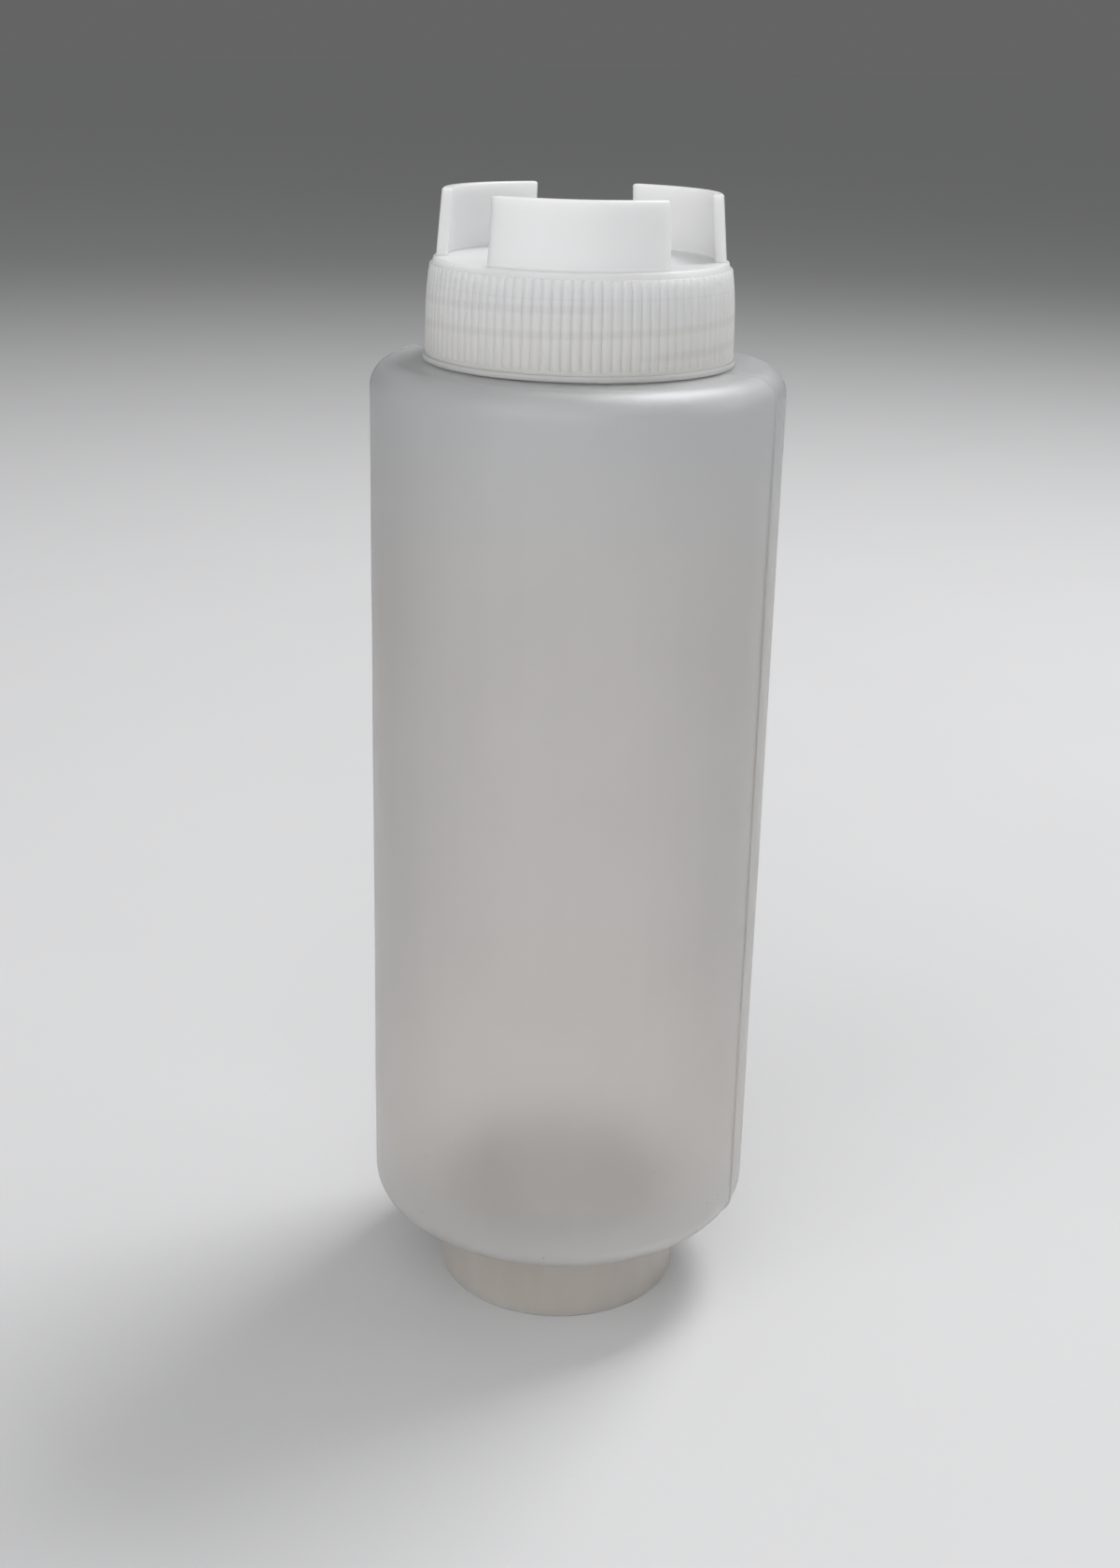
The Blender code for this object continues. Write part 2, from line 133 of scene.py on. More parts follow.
# Stand legs
LEG_COUNT = 3
LEG_ARC = math.radians(75.0)
LEG_HEIGHT = 0.0116
LEG_WALL = 0.002
LEG_LEAN = 0.00105
LEG_SETBACK = 0.0005
LEG_ROUNDING = 0.00045
LEG_ROOT = 0.001

# Valve and its seat
VALVE_FLANGE_RADIUS = valve_high.x
VALVE_FLANGE_THICKNESS = 0.0016
VALVE_SLEEVE_RADIUS = 0.0086
VALVE_SLEEVE_WALL = 0.0006
VALVE_DISH_DEPTH = 0.0014
VALVE_HEAD_THICKNESS = 0.0011
VALVE_ROUNDING = 0.0003
SLIT_LENGTH = 0.0085
SLIT_WIDTH = 0.00022
OUTLET_CLEARANCE = 0.0005
CUP_WALL = 0.0014
CUP_SKIRT = 0.0006
RING_FUNNEL = 0.0006
RING_ROUNDING = 0.0002
SNAP_HEIGHT = 0.0009
SNAP_DEPTH = 0.00035

# Refill cap and liner
REFILL_CAP_FLOOR = 0.0018
REFILL_CAP_WALL = 0.00185
REFILL_CAP_DRAFT = 0.00015
REFILL_CAP_ROUNDING = 0.0005
REFILL_CAP_FILLET = 0.0006
LINER_ROUNDING = 0.0002
LINER_PRINT = 0.00012      # depth to which the neck's end has pressed the foam
LINER_PRINT_SLOPE = 0.0003

# Heights that follow from the pieces
DISPENSING_NECK_THREAD_Z = UPPER_SHOULDER_Z + NECK_THREAD_START_RISE
REFILL_NECK_THREAD_Z = (
    LOWER_SHOULDER_Z - NECK_THREAD_START_RISE - THREAD_PITCH * NECK_THREAD_TURNS
)
CAP_Z = cap_low.z
DECK_TOP = cap_high.z - LEG_HEIGHT
DECK_UNDERSIDE = DECK_TOP - DECK_THICKNESS
RIB_LOW = CAP_Z + LIP_HEIGHT + BAND_HEIGHT
RIB_HIGH = DECK_TOP - COLLAR_HEIGHT
SKIRT_BORE = DISPENSING_NECK_RADIUS + THREAD_ROOM
CREST_RADIUS = SKIRT_BORE + SKIRT_WALL
RIB_TOP_RADIUS = CREST_RADIUS - SKIRT_DRAFT - SKIRT_CROWN
COLLAR_FOOT_RADIUS = RIB_TOP_RADIUS - RIB_DEPTH - COLLAR_SETBACK
COLLAR_TOP_RADIUS = COLLAR_FOOT_RADIUS - COLLAR_DRAFT
CUP_BORE = VALVE_FLANGE_RADIUS + SEAT_GAP
OUTLET_RADIUS = VALVE_SLEEVE_RADIUS + OUTLET_CLEARANCE
REFILL_BORE = REFILL_NECK_RADIUS + THREAD_ROOM

# Fineness
ROUND_COLUMNS = 288
SMALL_COLUMNS = 128
RIB_COLUMNS = 8
CORNER_STEPS = 5
SHOULDER_STEPS = 18
WALL_STEPS = 28
LEG_STEPS = 30
DISH_STEPS = 12
THREAD_STEPS = 120         # for one turn
RIDGE_CORNER_POINTS = 3
RIDGE_END_SCALE = 0.02     # of the ridge's full section, at its two tips
SHARP_ANGLE = math.radians(38.0)
FACE_WEIGHT = 80           # above 50, larger faces lead the shading of a shared corner
MERGE_DISTANCE = 0.000002
TINY = 0.000001            # keeps a division from zero
FLOOR_SIDES = 96


def add_object(name, data):
    """New object of the scene that shows a mesh, a lamp or a camera."""
    obj = bpy.data.objects.new(name, data)
    bpy.context.scene.collection.objects.link(obj)
    return obj


def mesh_from(shape, name):
    """Mesh of a worked shape, which is then let go."""
    mesh = bpy.data.meshes.new(name)
    shape.to_mesh(mesh)
    shape.free()
    return mesh


class Wire:
    """An output socket. Python's operators on it add Math nodes to its tree."""

    def __init__(self, graph, socket):
        self.graph = graph
        self.socket = socket

    def maths(self, operation, *values):
        sockets = dict(enumerate(values))
        return self.graph.add("ShaderNodeMath", {"operation": operation}, sockets)

    def __add__(self, other):
        return self.maths("ADD", self, other)

    __radd__ = __add__

    def __sub__(self, other):
        return self.maths("SUBTRACT", self, other)

    def __rsub__(self, other):
        return self.maths("SUBTRACT", other, self)

    def __mul__(self, other):
        return self.maths("MULTIPLY", self, other)

    __rmul__ = __mul__

    def __truediv__(self, other):
        return self.maths("DIVIDE", self, other)

    def __gt__(self, other):
        return self.maths("GREATER_THAN", self, other)

    def function(self, operation, *others):
        """A Math node without an operator of its own, such as SINE or FRACT."""
        return self.maths(operation, self, *others)

    def ramp(self, low, high, to_low=0.0, to_high=1.0):
        """Smooth step from to_low to to_high while this value goes from low to high."""
        return self.graph.add(
            "ShaderNodeMapRange",
            {"interpolation_type": "SMOOTHSTEP"},
            {"Value": self, "From Min": low, "From Max": high, "To Min": to_low, "To Max": to_high},
        )


class Graph:
    """Adds nodes to one tree."""

    def __init__(self, tree):
        self.tree = tree
        self.node = None

    def add(self, kind, settings=None, sockets=None, out=0):
        """Add a node, set it, then fill or link its sockets. Returns one of its outputs."""
        node = self.tree.nodes.new(kind)
        for name, value in (settings or {}).items():
            setattr(node, name, value)
        for key, value in (sockets or {}).items():
            if isinstance(value, Wire):
                self.tree.links.new(value.socket, node.inputs[key])
            else:
                node.inputs[key].default_value = value
        self.node = node
        return Wire(self, node.outputs[out]) if node.outputs else None

    def also(self, out):
        """Another output of the node that was added last."""
        return Wire(self, self.node.outputs[out])


SOCKET_KINDS = {
    "length": "NodeSocketFloat",
    "number": "NodeSocketFloat",
    "count": "NodeSocketInt",
    "material": "NodeSocketMaterial",
}


class Recipe(Graph):
    """A Geometry Nodes tree with named inputs that ends in real mesh and a material."""

    def __init__(self, name, inputs):
        super().__init__(bpy.data.node_groups.new(name, "GeometryNodeTree"))
        faces = self.tree.interface
        faces.new_socket("Geometry", in_out="INPUT", socket_type="NodeSocketGeometry")
        faces.new_socket("Geometry", in_out="OUTPUT", socket_type="NodeSocketGeometry")
        self.identifiers = {}
        for label, kind in {**inputs, "Material": "material"}.items():
            socket = faces.new_socket(label, in_out="INPUT", socket_type=SOCKET_KINDS[kind])
            self.identifiers[label] = socket.identifier
        self.start = self.tree.nodes.new("NodeGroupInput")
        self.geometry = self.input("Geometry")

    def input(self, label):
        return Wire(self, self.start.outputs[label])

    def end(self, geometry):
        """Close the tree."""
        real = self.add("GeometryNodeRealizeInstances", None, {"Geometry": geometry})
        dressed = self.add(
            "GeometryNodeSetMaterial",
            None,
            {"Geometry": real, "Material": self.input("Material")},
        )
        finish = self.tree.nodes.new("NodeGroupOutput")
        self.tree.links.new(dressed.socket, finish.inputs["Geometry"])

    def make(self, name, mesh, material, **values):
        """Run the tree on a mesh and return the result as an object with a plain mesh."""
        obj = add_object(name, mesh)
        modifier = obj.modifiers.new("recipe", "NODES")
        modifier.node_group = self.tree
        modifier[self.identifiers["Material"]] = material
        for label, value in values.items():
            modifier[self.identifiers[label.replace("_", " ").title()]] = value
        return plain(obj)


def plain(obj):
    """Turn an object's modifiers into its mesh."""
    depsgraph = bpy.context.evaluated_depsgraph_get()
    mesh = bpy.data.meshes.new_from_object(obj.evaluated_get(depsgraph))
    mesh.name = obj.name
    obj.modifiers.clear()
    obj.data = mesh
    return obj


def turning_recipe():
    """Turn an outline round the Z axis, with upright ribs where it is marked as ribbed.

    The outline is a chain of points in the XZ plane that runs down its outer side. The
    wall may stray from true by a slow noise where the outline is marked as wavy.
    """
    inputs = {
        "Columns": "count",
        "Rows": "count",
        "Rib Count": "number",
        "Rib Depth": "length",
        "Flat Share": "number",
        "Wave Height": "length",
        "Wave Scale": "number",
    }
    recipe = Recipe("turned_outline", inputs)
    columns = recipe.input("Columns")
    rows = recipe.input("Rows")
    grid = recipe.add(
        "GeometryNodeMeshGrid",
        None,
        {"Vertices X": columns + 1, "Vertices Y": rows},
    )
    index = recipe.add("GeometryNodeInputIndex")
    column = ((index + 0.5) / rows).function("FLOOR")
    row = index - column * rows
    angle = column / columns * FULL_TURN

    def sampled(kind, value, data_type):
        return recipe.add(
            "GeometryNodeSampleIndex",
            {"data_type": data_type, "domain": "POINT"},
            {"Geometry": recipe.geometry, "Value": value, "Index": row},
        )

    def mark(name):
        value = recipe.add(
            "GeometryNodeInputNamedAttribute",
            {"data_type": "FLOAT"},
            {"Name": name},
        )
        return sampled("mark", value, "FLOAT")

    place = sampled("place", recipe.add("GeometryNodeInputPosition"), "FLOAT_VECTOR")
    radius = recipe.add("ShaderNodeSeparateXYZ", None, {"Vector": place})
    height = recipe.also("Z")
    beside = (angle * recipe.input("Rib Count") / FULL_TURN + 0.5).function("FRACT")
    from_valley = (beside - 0.5).function("ABSOLUTE") * -2.0 + 1.0
    valley = from_valley.ramp(0.0, 1.0 - recipe.input("Flat Share"), 1.0, 0.0)
    ribbed_radius = radius - valley * recipe.input("Rib Depth") * mark("ribbed")

    def on_circle(distance):
        return recipe.add(
            "ShaderNodeCombineXYZ",
            None,
            {
                "X": distance * angle.function("COSINE"),
                "Y": distance * angle.function("SINE"),
                "Z": height,
            },
        )

    noise = recipe.add(
        "ShaderNodeTexNoise",
        {"noise_dimensions": "3D"},
        {
            "Vector": on_circle(ribbed_radius),
            "Scale": recipe.input("Wave Scale"),
            "Detail": 1.5,
            "Roughness": 0.4,
        },
    )
    stray = (noise - 0.5) * 2.0 * recipe.input("Wave Height") * mark("wavy")
    moved = recipe.add(
        "GeometryNodeSetPosition",
        None,
        {"Geometry": grid, "Position": on_circle(ribbed_radius + stray)},
    )
    closed = recipe.add(
        "GeometryNodeMergeByDistance",
        None,
        {"Geometry": moved, "Distance": MERGE_DISTANCE},
    )
    recipe.end(recipe.add("GeometryNodeFlipFaces", None, {"Mesh": closed}))
    return recipe


def ridge_recipe():
    """Sweep a rounded ridge along a path, tapering at both ends, square to a centre line."""
    inputs = {
        "Foot": "length",
        "Crest": "length",
        "Height": "length",
        "Sink": "length",
        "Rounding": "length",
        "Taper": "length",
    }
    recipe = Recipe("ridge_on_path", inputs)
    path = recipe.add("GeometryNodeMeshToCurve", None, {"Mesh": recipe.geometry})
    outward = recipe.add(
        "ShaderNodeVectorMath",
        {"operation": "NORMALIZE"},
        {
            0: recipe.add(
                "GeometryNodeInputNamedAttribute",
                {"data_type": "FLOAT_VECTOR"},
                {"Name": "outward"},
            )
        },
    )
    set_up = recipe.add(
        "GeometryNodeSetCurveNormal",
        {"mode": "FREE"},
        {"Curve": path, "Normal": outward},
    )
    sink = recipe.input("Sink")
    height = recipe.input("Height")
    section = recipe.add(
        "GeometryNodeCurvePrimitiveQuadrilateral",
        {"mode": "TRAPEZOID"},
        {
            "Bottom Width": recipe.input("Foot"),
            "Top Width": recipe.input("Crest"),
            "Height": height + sink,
            "Offset": 0.0,
        },
    )
    rounded = recipe.add(
        "GeometryNodeFilletCurve",
        {"mode": "POLY"},
        {
            "Curve": section,
            "Count": RIDGE_CORNER_POINTS,
            "Radius": recipe.input("Rounding"),
            "Limit Radius": True,
        },
    )
    middle = (height + sink) * 0.5 - sink
    turned = recipe.add(
        "GeometryNodeTransform",
        None,
        {
            "Geometry": rounded,
            "Translation": recipe.add("ShaderNodeCombineXYZ", None, {"X": middle}),
            "Rotation": (0.0, 0.0, -QUARTER_TURN),
        },
    )
    along = recipe.add("GeometryNodeSplineParameter", None, None, "Length")
    share = recipe.also("Factor")
    length = along / share.function("MAXIMUM", TINY)
    left = length - along
    taper = recipe.input("Taper")
    from_end = along.function("MINIMUM", left)
    scale = from_end.ramp(0.0, taper, RIDGE_END_SCALE, 1.0)
    swept = recipe.add(
        "GeometryNodeCurveToMesh",
        None,
        {"Curve": set_up, "Profile Curve": turned, "Scale": scale, "Fill Caps": True},
    )
    recipe.end(swept)
    return recipe


def copies_recipe():
    """Copies of a mesh, evenly spaced round the Z axis over an arc."""
    recipe = Recipe("copies_round_axis", {"Copies": "count", "Arc": "number"})
    spots = recipe.add(
        "GeometryNodeMeshLine",
        {"mode": "OFFSET"},
        {"Count": recipe.input("Copies"), "Offset": (0.0, 0.0, 0.0)},
    )
    index = recipe.add("GeometryNodeInputIndex")
    angle = index * recipe.input("Arc") / recipe.input("Copies")
    turn = recipe.add(
        "FunctionNodeAxisAngleToRotation",
        None,
        {"Axis": (0.0, 0.0, 1.0), "Angle": angle},
    )
    copies = recipe.add(
        "GeometryNodeInstanceOnPoints",
        None,
        {"Points": spots, "Instance": recipe.geometry, "Rotation": turn},
    )
    recipe.end(copies)
    return recipe


turning = turning_recipe()
ridging = ridge_recipe()
copying = copies_recipe()


def rounded(corners):
    """Outline points with each corner (radius, height, rounding) drawn as an arc."""
    points = []
    count = len(corners)
    for index, (radius, height, rounding) in enumerate(corners):
        corner = Vector((radius, height))
        if rounding == 0.0:
            points.append(corner)
            continue
        back = (Vector(corners[index - 1][:2]) - corner).normalized()
        ahead = (Vector(corners[(index + 1) % count][:2]) - corner).normalized()
        half_angle = back.angle(ahead) / 2.0
        centre = corner + (back + ahead).normalized() * rounding / math.sin(half_angle)
        start = corner + back * rounding / math.tan(half_angle) - centre
        end = corner + ahead * rounding / math.tan(half_angle) - centre
        sweep = start.angle_signed(end)
        for step in range(CORNER_STEPS + 1):
            turn = Matrix.Rotation(-sweep * step / CORNER_STEPS, 2)
            points.append(centre + turn @ start)
    return points


def quarter(centre, radii, start, steps):
    """Points on a clockwise quarter of an ellipse, both ends included."""
    points = []
    for step in range(steps + 1):
        angle = start - QUARTER_TURN * step / steps
        x = centre[0] + radii[0] * math.cos(angle)
        points.append((x, centre[1] + radii[1] * math.sin(angle), 0.0))
    return points


def outline_mesh(name, corners, closed=True, **marks):
    """Mesh of an outline's points. Each mark is a rule that says how far it holds at a point."""
    points = rounded(corners)
    if closed:
        points.append(points[0])
    mesh = bpy.data.meshes.new(name)
    mesh.from_pydata([(point[0], 0.0, point[1]) for point in points], [], [])
    for mark, rule in marks.items():
        layer = mesh.attributes.new(mark, "FLOAT", "POINT")
        for index, point in enumerate(points):
            layer.data[index].value = rule(point[0], point[1])
    return mesh


def turned(name, corners, columns, material, closed=True, **marks):
    """Turn an outline round the axis into a closed solid."""
    mesh = outline_mesh(name, corners, closed, **marks)
    return turning.make(
        name,
        mesh,
        material,
        columns=columns,
        rows=len(mesh.vertices),
        rib_count=float(RIB_COUNT),
        rib_depth=RIB_DEPTH,
        flat_share=RIB_FLAT_SHARE,
        wave_height=WALL_WAVE,
        wave_scale=WALL_WAVE_SCALE,
    )


def path_mesh(name, points, outwards):
    """Mesh of a chain of points, each with the direction in which a ridge stands up."""
    mesh = bpy.data.meshes.new(name)
    mesh.from_pydata(points, [(index, index + 1) for index in range(len(points) - 1)], [])
    layer = mesh.attributes.new("outward", "FLOAT_VECTOR", "POINT")
    for index, outward in enumerate(outwards):
        layer.data[index].vector = outward
    return mesh


def spoke(azimuth):
    """Unit vector at an azimuth, which runs from the -Y side towards +X."""
    return Vector((math.sin(azimuth), -math.cos(azimuth), 0.0))


def thread(name, radius, start_azimuth, start_z, turns, side, material):
    """Right-hand screw ridge on a cylinder. Side is 1 on its outside and -1 in a bore."""
    steps = round(turns * THREAD_STEPS)
    points = []
    outwards = []
    for step in range(steps + 1):
        share = turns * step / steps
        direction = spoke(start_azimuth + FULL_TURN * share)
        points.append(direction * radius + Vector((0.0, 0.0, start_z + THREAD_PITCH * share)))
        outwards.append(direction * side)
    return ridging.make(
        name,
        path_mesh(name, points, outwards),
        material,
        foot=THREAD_FOOT,
        crest=THREAD_CREST,
        height=THREAD_HEIGHT,
        sink=THREAD_SINK,
        rounding=THREAD_ROUNDING,
        taper=THREAD_TAPER_TURNS * FULL_TURN * radius,
    )


def fuse(base, others, operation="UNION"):
    """Join helper solids to a solid, or cut them away, and remove them."""
    for other in others:
        boolean = base.modifiers.new(operation.lower(), "BOOLEAN")
        boolean.operation = operation
        boolean.solver = "MANIFOLD"
        boolean.object = other
    plain(base)
    for other in others:
        bpy.data.objects.remove(other, do_unlink=True)
    return base


def smooth(obj):
    """Shade round faces smooth, with flat faces kept flat up to their rounded edges."""
    obj.data.shade_smooth()
    obj.data.set_sharp_from_angle(angle=SHARP_ANGLE)
    even = obj.modifiers.new("even_shading", "WEIGHTED_NORMAL")
    even.keep_sharp = True
    even.weight = FACE_WEIGHT
    return plain(obj)


def place(obj, body, node):
    """Let a finished piece stand for its node on its body."""
    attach(obj, body)
    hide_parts(node)
    return obj


def bottle_corners():
    """Section of the bottle's wall, from the dispensing neck's bore over its outside."""
    top = bottle_high.z
    low = bottle_low.z
    root = NECK_ROOT_FILLET
    corner = BODY_RADIUS - SHOULDER_REACH
    outer = (SHOULDER_REACH, SHOULDER_DROP)
    inner = (SHOULDER_REACH - BODY_WALL, SHOULDER_DROP - BODY_WALL)
    upper_centre = (corner, UPPER_SHOULDER_Z - SHOULDER_DROP)
    lower_centre = (corner, LOWER_SHOULDER_Z + SHOULDER_DROP)
    upper_bore = DISPENSING_NECK_RADIUS - NECK_WALL
    lower_bore = REFILL_NECK_RADIUS - NECK_WALL
    corners = [
        (upper_bore, top, LAND_EDGE),
        (DISPENSING_NECK_RADIUS, top, LAND_EDGE),
        (DISPENSING_NECK_RADIUS, UPPER_SHOULDER_Z, root),
    ]
    corners += quarter(upper_centre, outer, QUARTER_TURN, SHOULDER_STEPS)
    corners += wall_levels(BODY_RADIUS, upper_centre[1], lower_centre[1])
    corners += quarter(lower_centre, outer, 0.0, SHOULDER_STEPS)
    corners += [
        (REFILL_NECK_RADIUS, LOWER_SHOULDER_Z, root),
        (REFILL_NECK_RADIUS, low, LAND_EDGE),
        (lower_bore, low, LAND_EDGE),
        (lower_bore, LOWER_SHOULDER_Z + BODY_WALL, root),
    ]
    corners += reversed(quarter(lower_centre, inner, 0.0, SHOULDER_STEPS))
    corners += wall_levels(BODY_RADIUS - BODY_WALL, lower_centre[1], upper_centre[1])
    corners += reversed(quarter(upper_centre, inner, QUARTER_TURN, SHOULDER_STEPS))
    corners.append((upper_bore, UPPER_SHOULDER_Z - BODY_WALL, root))
    return corners


def wall_levels(radius, start_z, end_z):
    """Points between the ends of a straight wall, close enough for its slow waves."""
    shares = [step / WALL_STEPS for step in range(1, WALL_STEPS)]
    return [(radius, start_z + (end_z - start_z) * share, 0.0) for share in shares]


def seam_path(azimuth):
    """Path of a mould seam: out over the shoulder, down the wall and in below."""
    points = []
    outwards = []
    direction = spoke(azimuth)
    corner = BODY_RADIUS - SHOULDER_REACH
    stations = [(DISPENSING_NECK_RADIUS + NECK_ROOT_FILLET, UPPER_SHOULDER_Z, 0.0, 1.0)]
    for step in range(SHOULDER_STEPS + 1):
        angle = QUARTER_TURN * (1.0 - step / SHOULDER_STEPS)
        across = math.cos(angle)
        up = math.sin(angle)
        stations.append(
            (
                corner + SHOULDER_REACH * across,
                UPPER_SHOULDER_Z - SHOULDER_DROP + SHOULDER_DROP * up,
                across / SHOULDER_REACH,
                up / SHOULDER_DROP,
            )
        )
    middle = (UPPER_SHOULDER_Z + LOWER_SHOULDER_Z) / 2.0
    below = [(radius, 2.0 * middle - height, across, -up) for radius, height, across, up in stations]
    stations += reversed(below)
    for radius, height, across, up in stations:
        points.append(direction * radius + Vector((0.0, 0.0, height)))
        outwards.append((direction * across + Vector((0.0, 0.0, up))).normalized())
    return points, outwards


def build_bottle(material):
    """Blown bottle with a screw thread on each neck and the seams of its two mould halves."""
    def wavy(radius, height):
        low = (height - LOWER_SHOULDER_Z) / SHOULDER_DROP / WAVE_FADE_DROPS
        high = (UPPER_SHOULDER_Z - height) / SHOULDER_DROP / WAVE_FADE_DROPS
        return max(0.0, min(1.0, low, high))

    bottle = turned("squeeze_bottle", bottle_corners(), ROUND_COLUMNS, material, wavy=wavy)
    ridges = []
    for name, radius, low in (
        ("dispensing_neck_thread", DISPENSING_NECK_RADIUS, DISPENSING_NECK_THREAD_Z),
        ("refill_neck_thread", REFILL_NECK_RADIUS, REFILL_NECK_THREAD_Z),
    ):
        ridges.append(
            thread(name, radius, NECK_THREAD_START, low, NECK_THREAD_TURNS, 1.0, material)
        )
    for side in range(2):
        name = f"mould_seam_{side + 1}"
        points, outwards = seam_path(SEAM_AZIMUTH + side * math.pi)
        ridges.append(
            ridging.make(
                name,
                path_mesh(name, points, outwards),
                material,
                foot=SEAM_FOOT,
                crest=SEAM_CREST,
                height=SEAM_HEIGHT,
                sink=SEAM_SINK,
                rounding=SEAM_HEIGHT / 2.0,
                taper=SEAM_FOOT,
            )
        )
    return smooth(fuse(bottle, ridges))


def crest_radius(share):
    """Radius of the rib crests at a share of the ribs' height."""
    return CREST_RADIUS - SKIRT_DRAFT * share - SKIRT_CROWN * share ** 4


def dispensing_cap_corners():
    """Section of the dispensing cap, from the outlet's top edge over its outside and back."""
    band = CREST_RADIUS + BAND_PROJECTION
    lip = CREST_RADIUS + LIP_PROJECTION
    lip_top = CAP_Z + LIP_HEIGHT
    plug = DISPENSING_NECK_RADIUS - NECK_WALL - SEAT_GAP
    plug_rim = DECK_UNDERSIDE - PLUG_DEPTH
    cup = CUP_BORE + CUP_WALL
    cup_rim = ring_low.z - CUP_SKIRT
    snap = (ring_low.z + ring_high.z) / 2.0
    snap_half = SNAP_HEIGHT / 2.0 + SEAT_GAP
    corners = [
        (OUTLET_RADIUS, DECK_TOP, DECK_ROUNDING),
        (COLLAR_TOP_RADIUS, DECK_TOP, DECK_ROUNDING),
        (COLLAR_FOOT_RADIUS, RIB_HIGH, 0.0),
        (crest_radius(1.0) - RIB_END, RIB_HIGH, 0.0),
    ]
    for level in range(RIB_LEVELS, -1, -1):
        share = level / RIB_LEVELS
        height = RIB_LOW + (RIB_HIGH - RIB_END - RIB_LOW) * share
        corners.append((crest_radius(share), height, 0.0))
    corners += [
        (band, RIB_LOW, 0.0),
        (band, lip_top, EDGE),
        (lip, lip_top, LIP_ROUNDING),
        (lip, CAP_Z, EDGE),
        (SKIRT_BORE, CAP_Z, MOUTH_BEVEL),
        (SKIRT_BORE, DECK_UNDERSIDE - SKIRT_CORNER_DROP, EDGE),
        (SKIRT_BORE - SKIRT_CORNER_REACH, DECK_UNDERSIDE, EDGE),
        (plug, DECK_UNDERSIDE, EDGE),
        (plug - PLUG_TAPER, plug_rim, EDGE),
        (plug - PLUG_WALL, plug_rim, EDGE),
        (plug - PLUG_WALL, DECK_UNDERSIDE, EDGE),
        (cup, DECK_UNDERSIDE, EDGE),
        (cup, cup_rim, EDGE),
        (CUP_BORE, cup_rim, EDGE),
        (CUP_BORE, snap - snap_half, 0.0),
        (CUP_BORE + SNAP_DEPTH, snap, 0.0),
        (CUP_BORE, snap + snap_half, 0.0),
        (CUP_BORE, DECK_UNDERSIDE, 0.0),
        (OUTLET_RADIUS, DECK_UNDERSIDE, EDGE),
    ]
    return corners


def stand_legs(name, material):
    """Three curved legs, each a leaning wall swept along an arc, with rounded edges."""
    foot = COLLAR_TOP_RADIUS - LEG_SETBACK
    lean_at_root = LEG_LEAN * LEG_ROOT / LEG_HEIGHT
    low = DECK_TOP - LEG_ROOT
    high = DECK_TOP + LEG_HEIGHT
    section = (
        (foot + lean_at_root, low),
        (foot - LEG_LEAN, high),
        (foot - LEG_LEAN - LEG_WALL, high),
        (foot + lean_at_root - LEG_WALL, low),
    )
    shape = bmesh.new()
    corners = [shape.verts.new((radius, 0.0, z)) for radius, z in section]
    face = shape.faces.new(corners)
    first = Matrix.Rotation(-QUARTER_TURN - LEG_ARC / 2.0, 3, "Z")
    bmesh.ops.rotate(shape, verts=corners, matrix=first)
    bmesh.ops.spin(
        shape,
        geom=[face, *corners, *face.edges],
        axis=(0.0, 0.0, 1.0),
        angle=LEG_ARC,
        steps=LEG_STEPS,
    )
    bmesh.ops.holes_fill(shape, edges=shape.edges, sides=len(section))
    bmesh.ops.recalc_face_normals(shape, faces=shape.faces)
    leg = add_object(name, mesh_from(shape, name))
    bevel = leg.modifiers.new("rounded_edges", "BEVEL")
    bevel.width = LEG_ROUNDING
    bevel.segments = CORNER_STEPS
    bevel.limit_method = "ANGLE"
    bevel.angle_limit = SHARP_ANGLE
    leg = plain(leg)
    legs = copying.make(name, leg.data, material, copies=LEG_COUNT, arc=FULL_TURN)
    bpy.data.objects.remove(leg, do_unlink=True)
    return legs


def build_dispensing_cap(material):
    """Ribbed cap with its screw thread, seal ring, valve seat and three stand legs."""
    plain_radii = (CREST_RADIUS + BAND_PROJECTION, COLLAR_FOOT_RADIUS)

    def ribbed(radius, height):
        beside = min(abs(radius - plain_radius) for plain_radius in plain_radii)
        outside = radius > COLLAR_FOOT_RADIUS and beside > MERGE_DISTANCE
        return float(outside and RIB_LOW <= height <= RIB_HIGH)

    cap = turned(
        "dispensing_cap_shell",
        dispensing_cap_corners(),
        RIB_COUNT * RIB_COLUMNS,
        material,
        ribbed=ribbed,
    )
    lag = CAP_THREAD_LAG
    screw = thread(
        "dispensing_cap_thread",
        SKIRT_BORE,
        NECK_THREAD_START + FULL_TURN * lag,
        DISPENSING_NECK_THREAD_Z + THREAD_PITCH * (lag - 0.5),
        CAP_THREAD_TURNS,
        -1.0,
        material,
    )
    return smooth(fuse(cap, [screw, stand_legs("stand_legs", material)]))


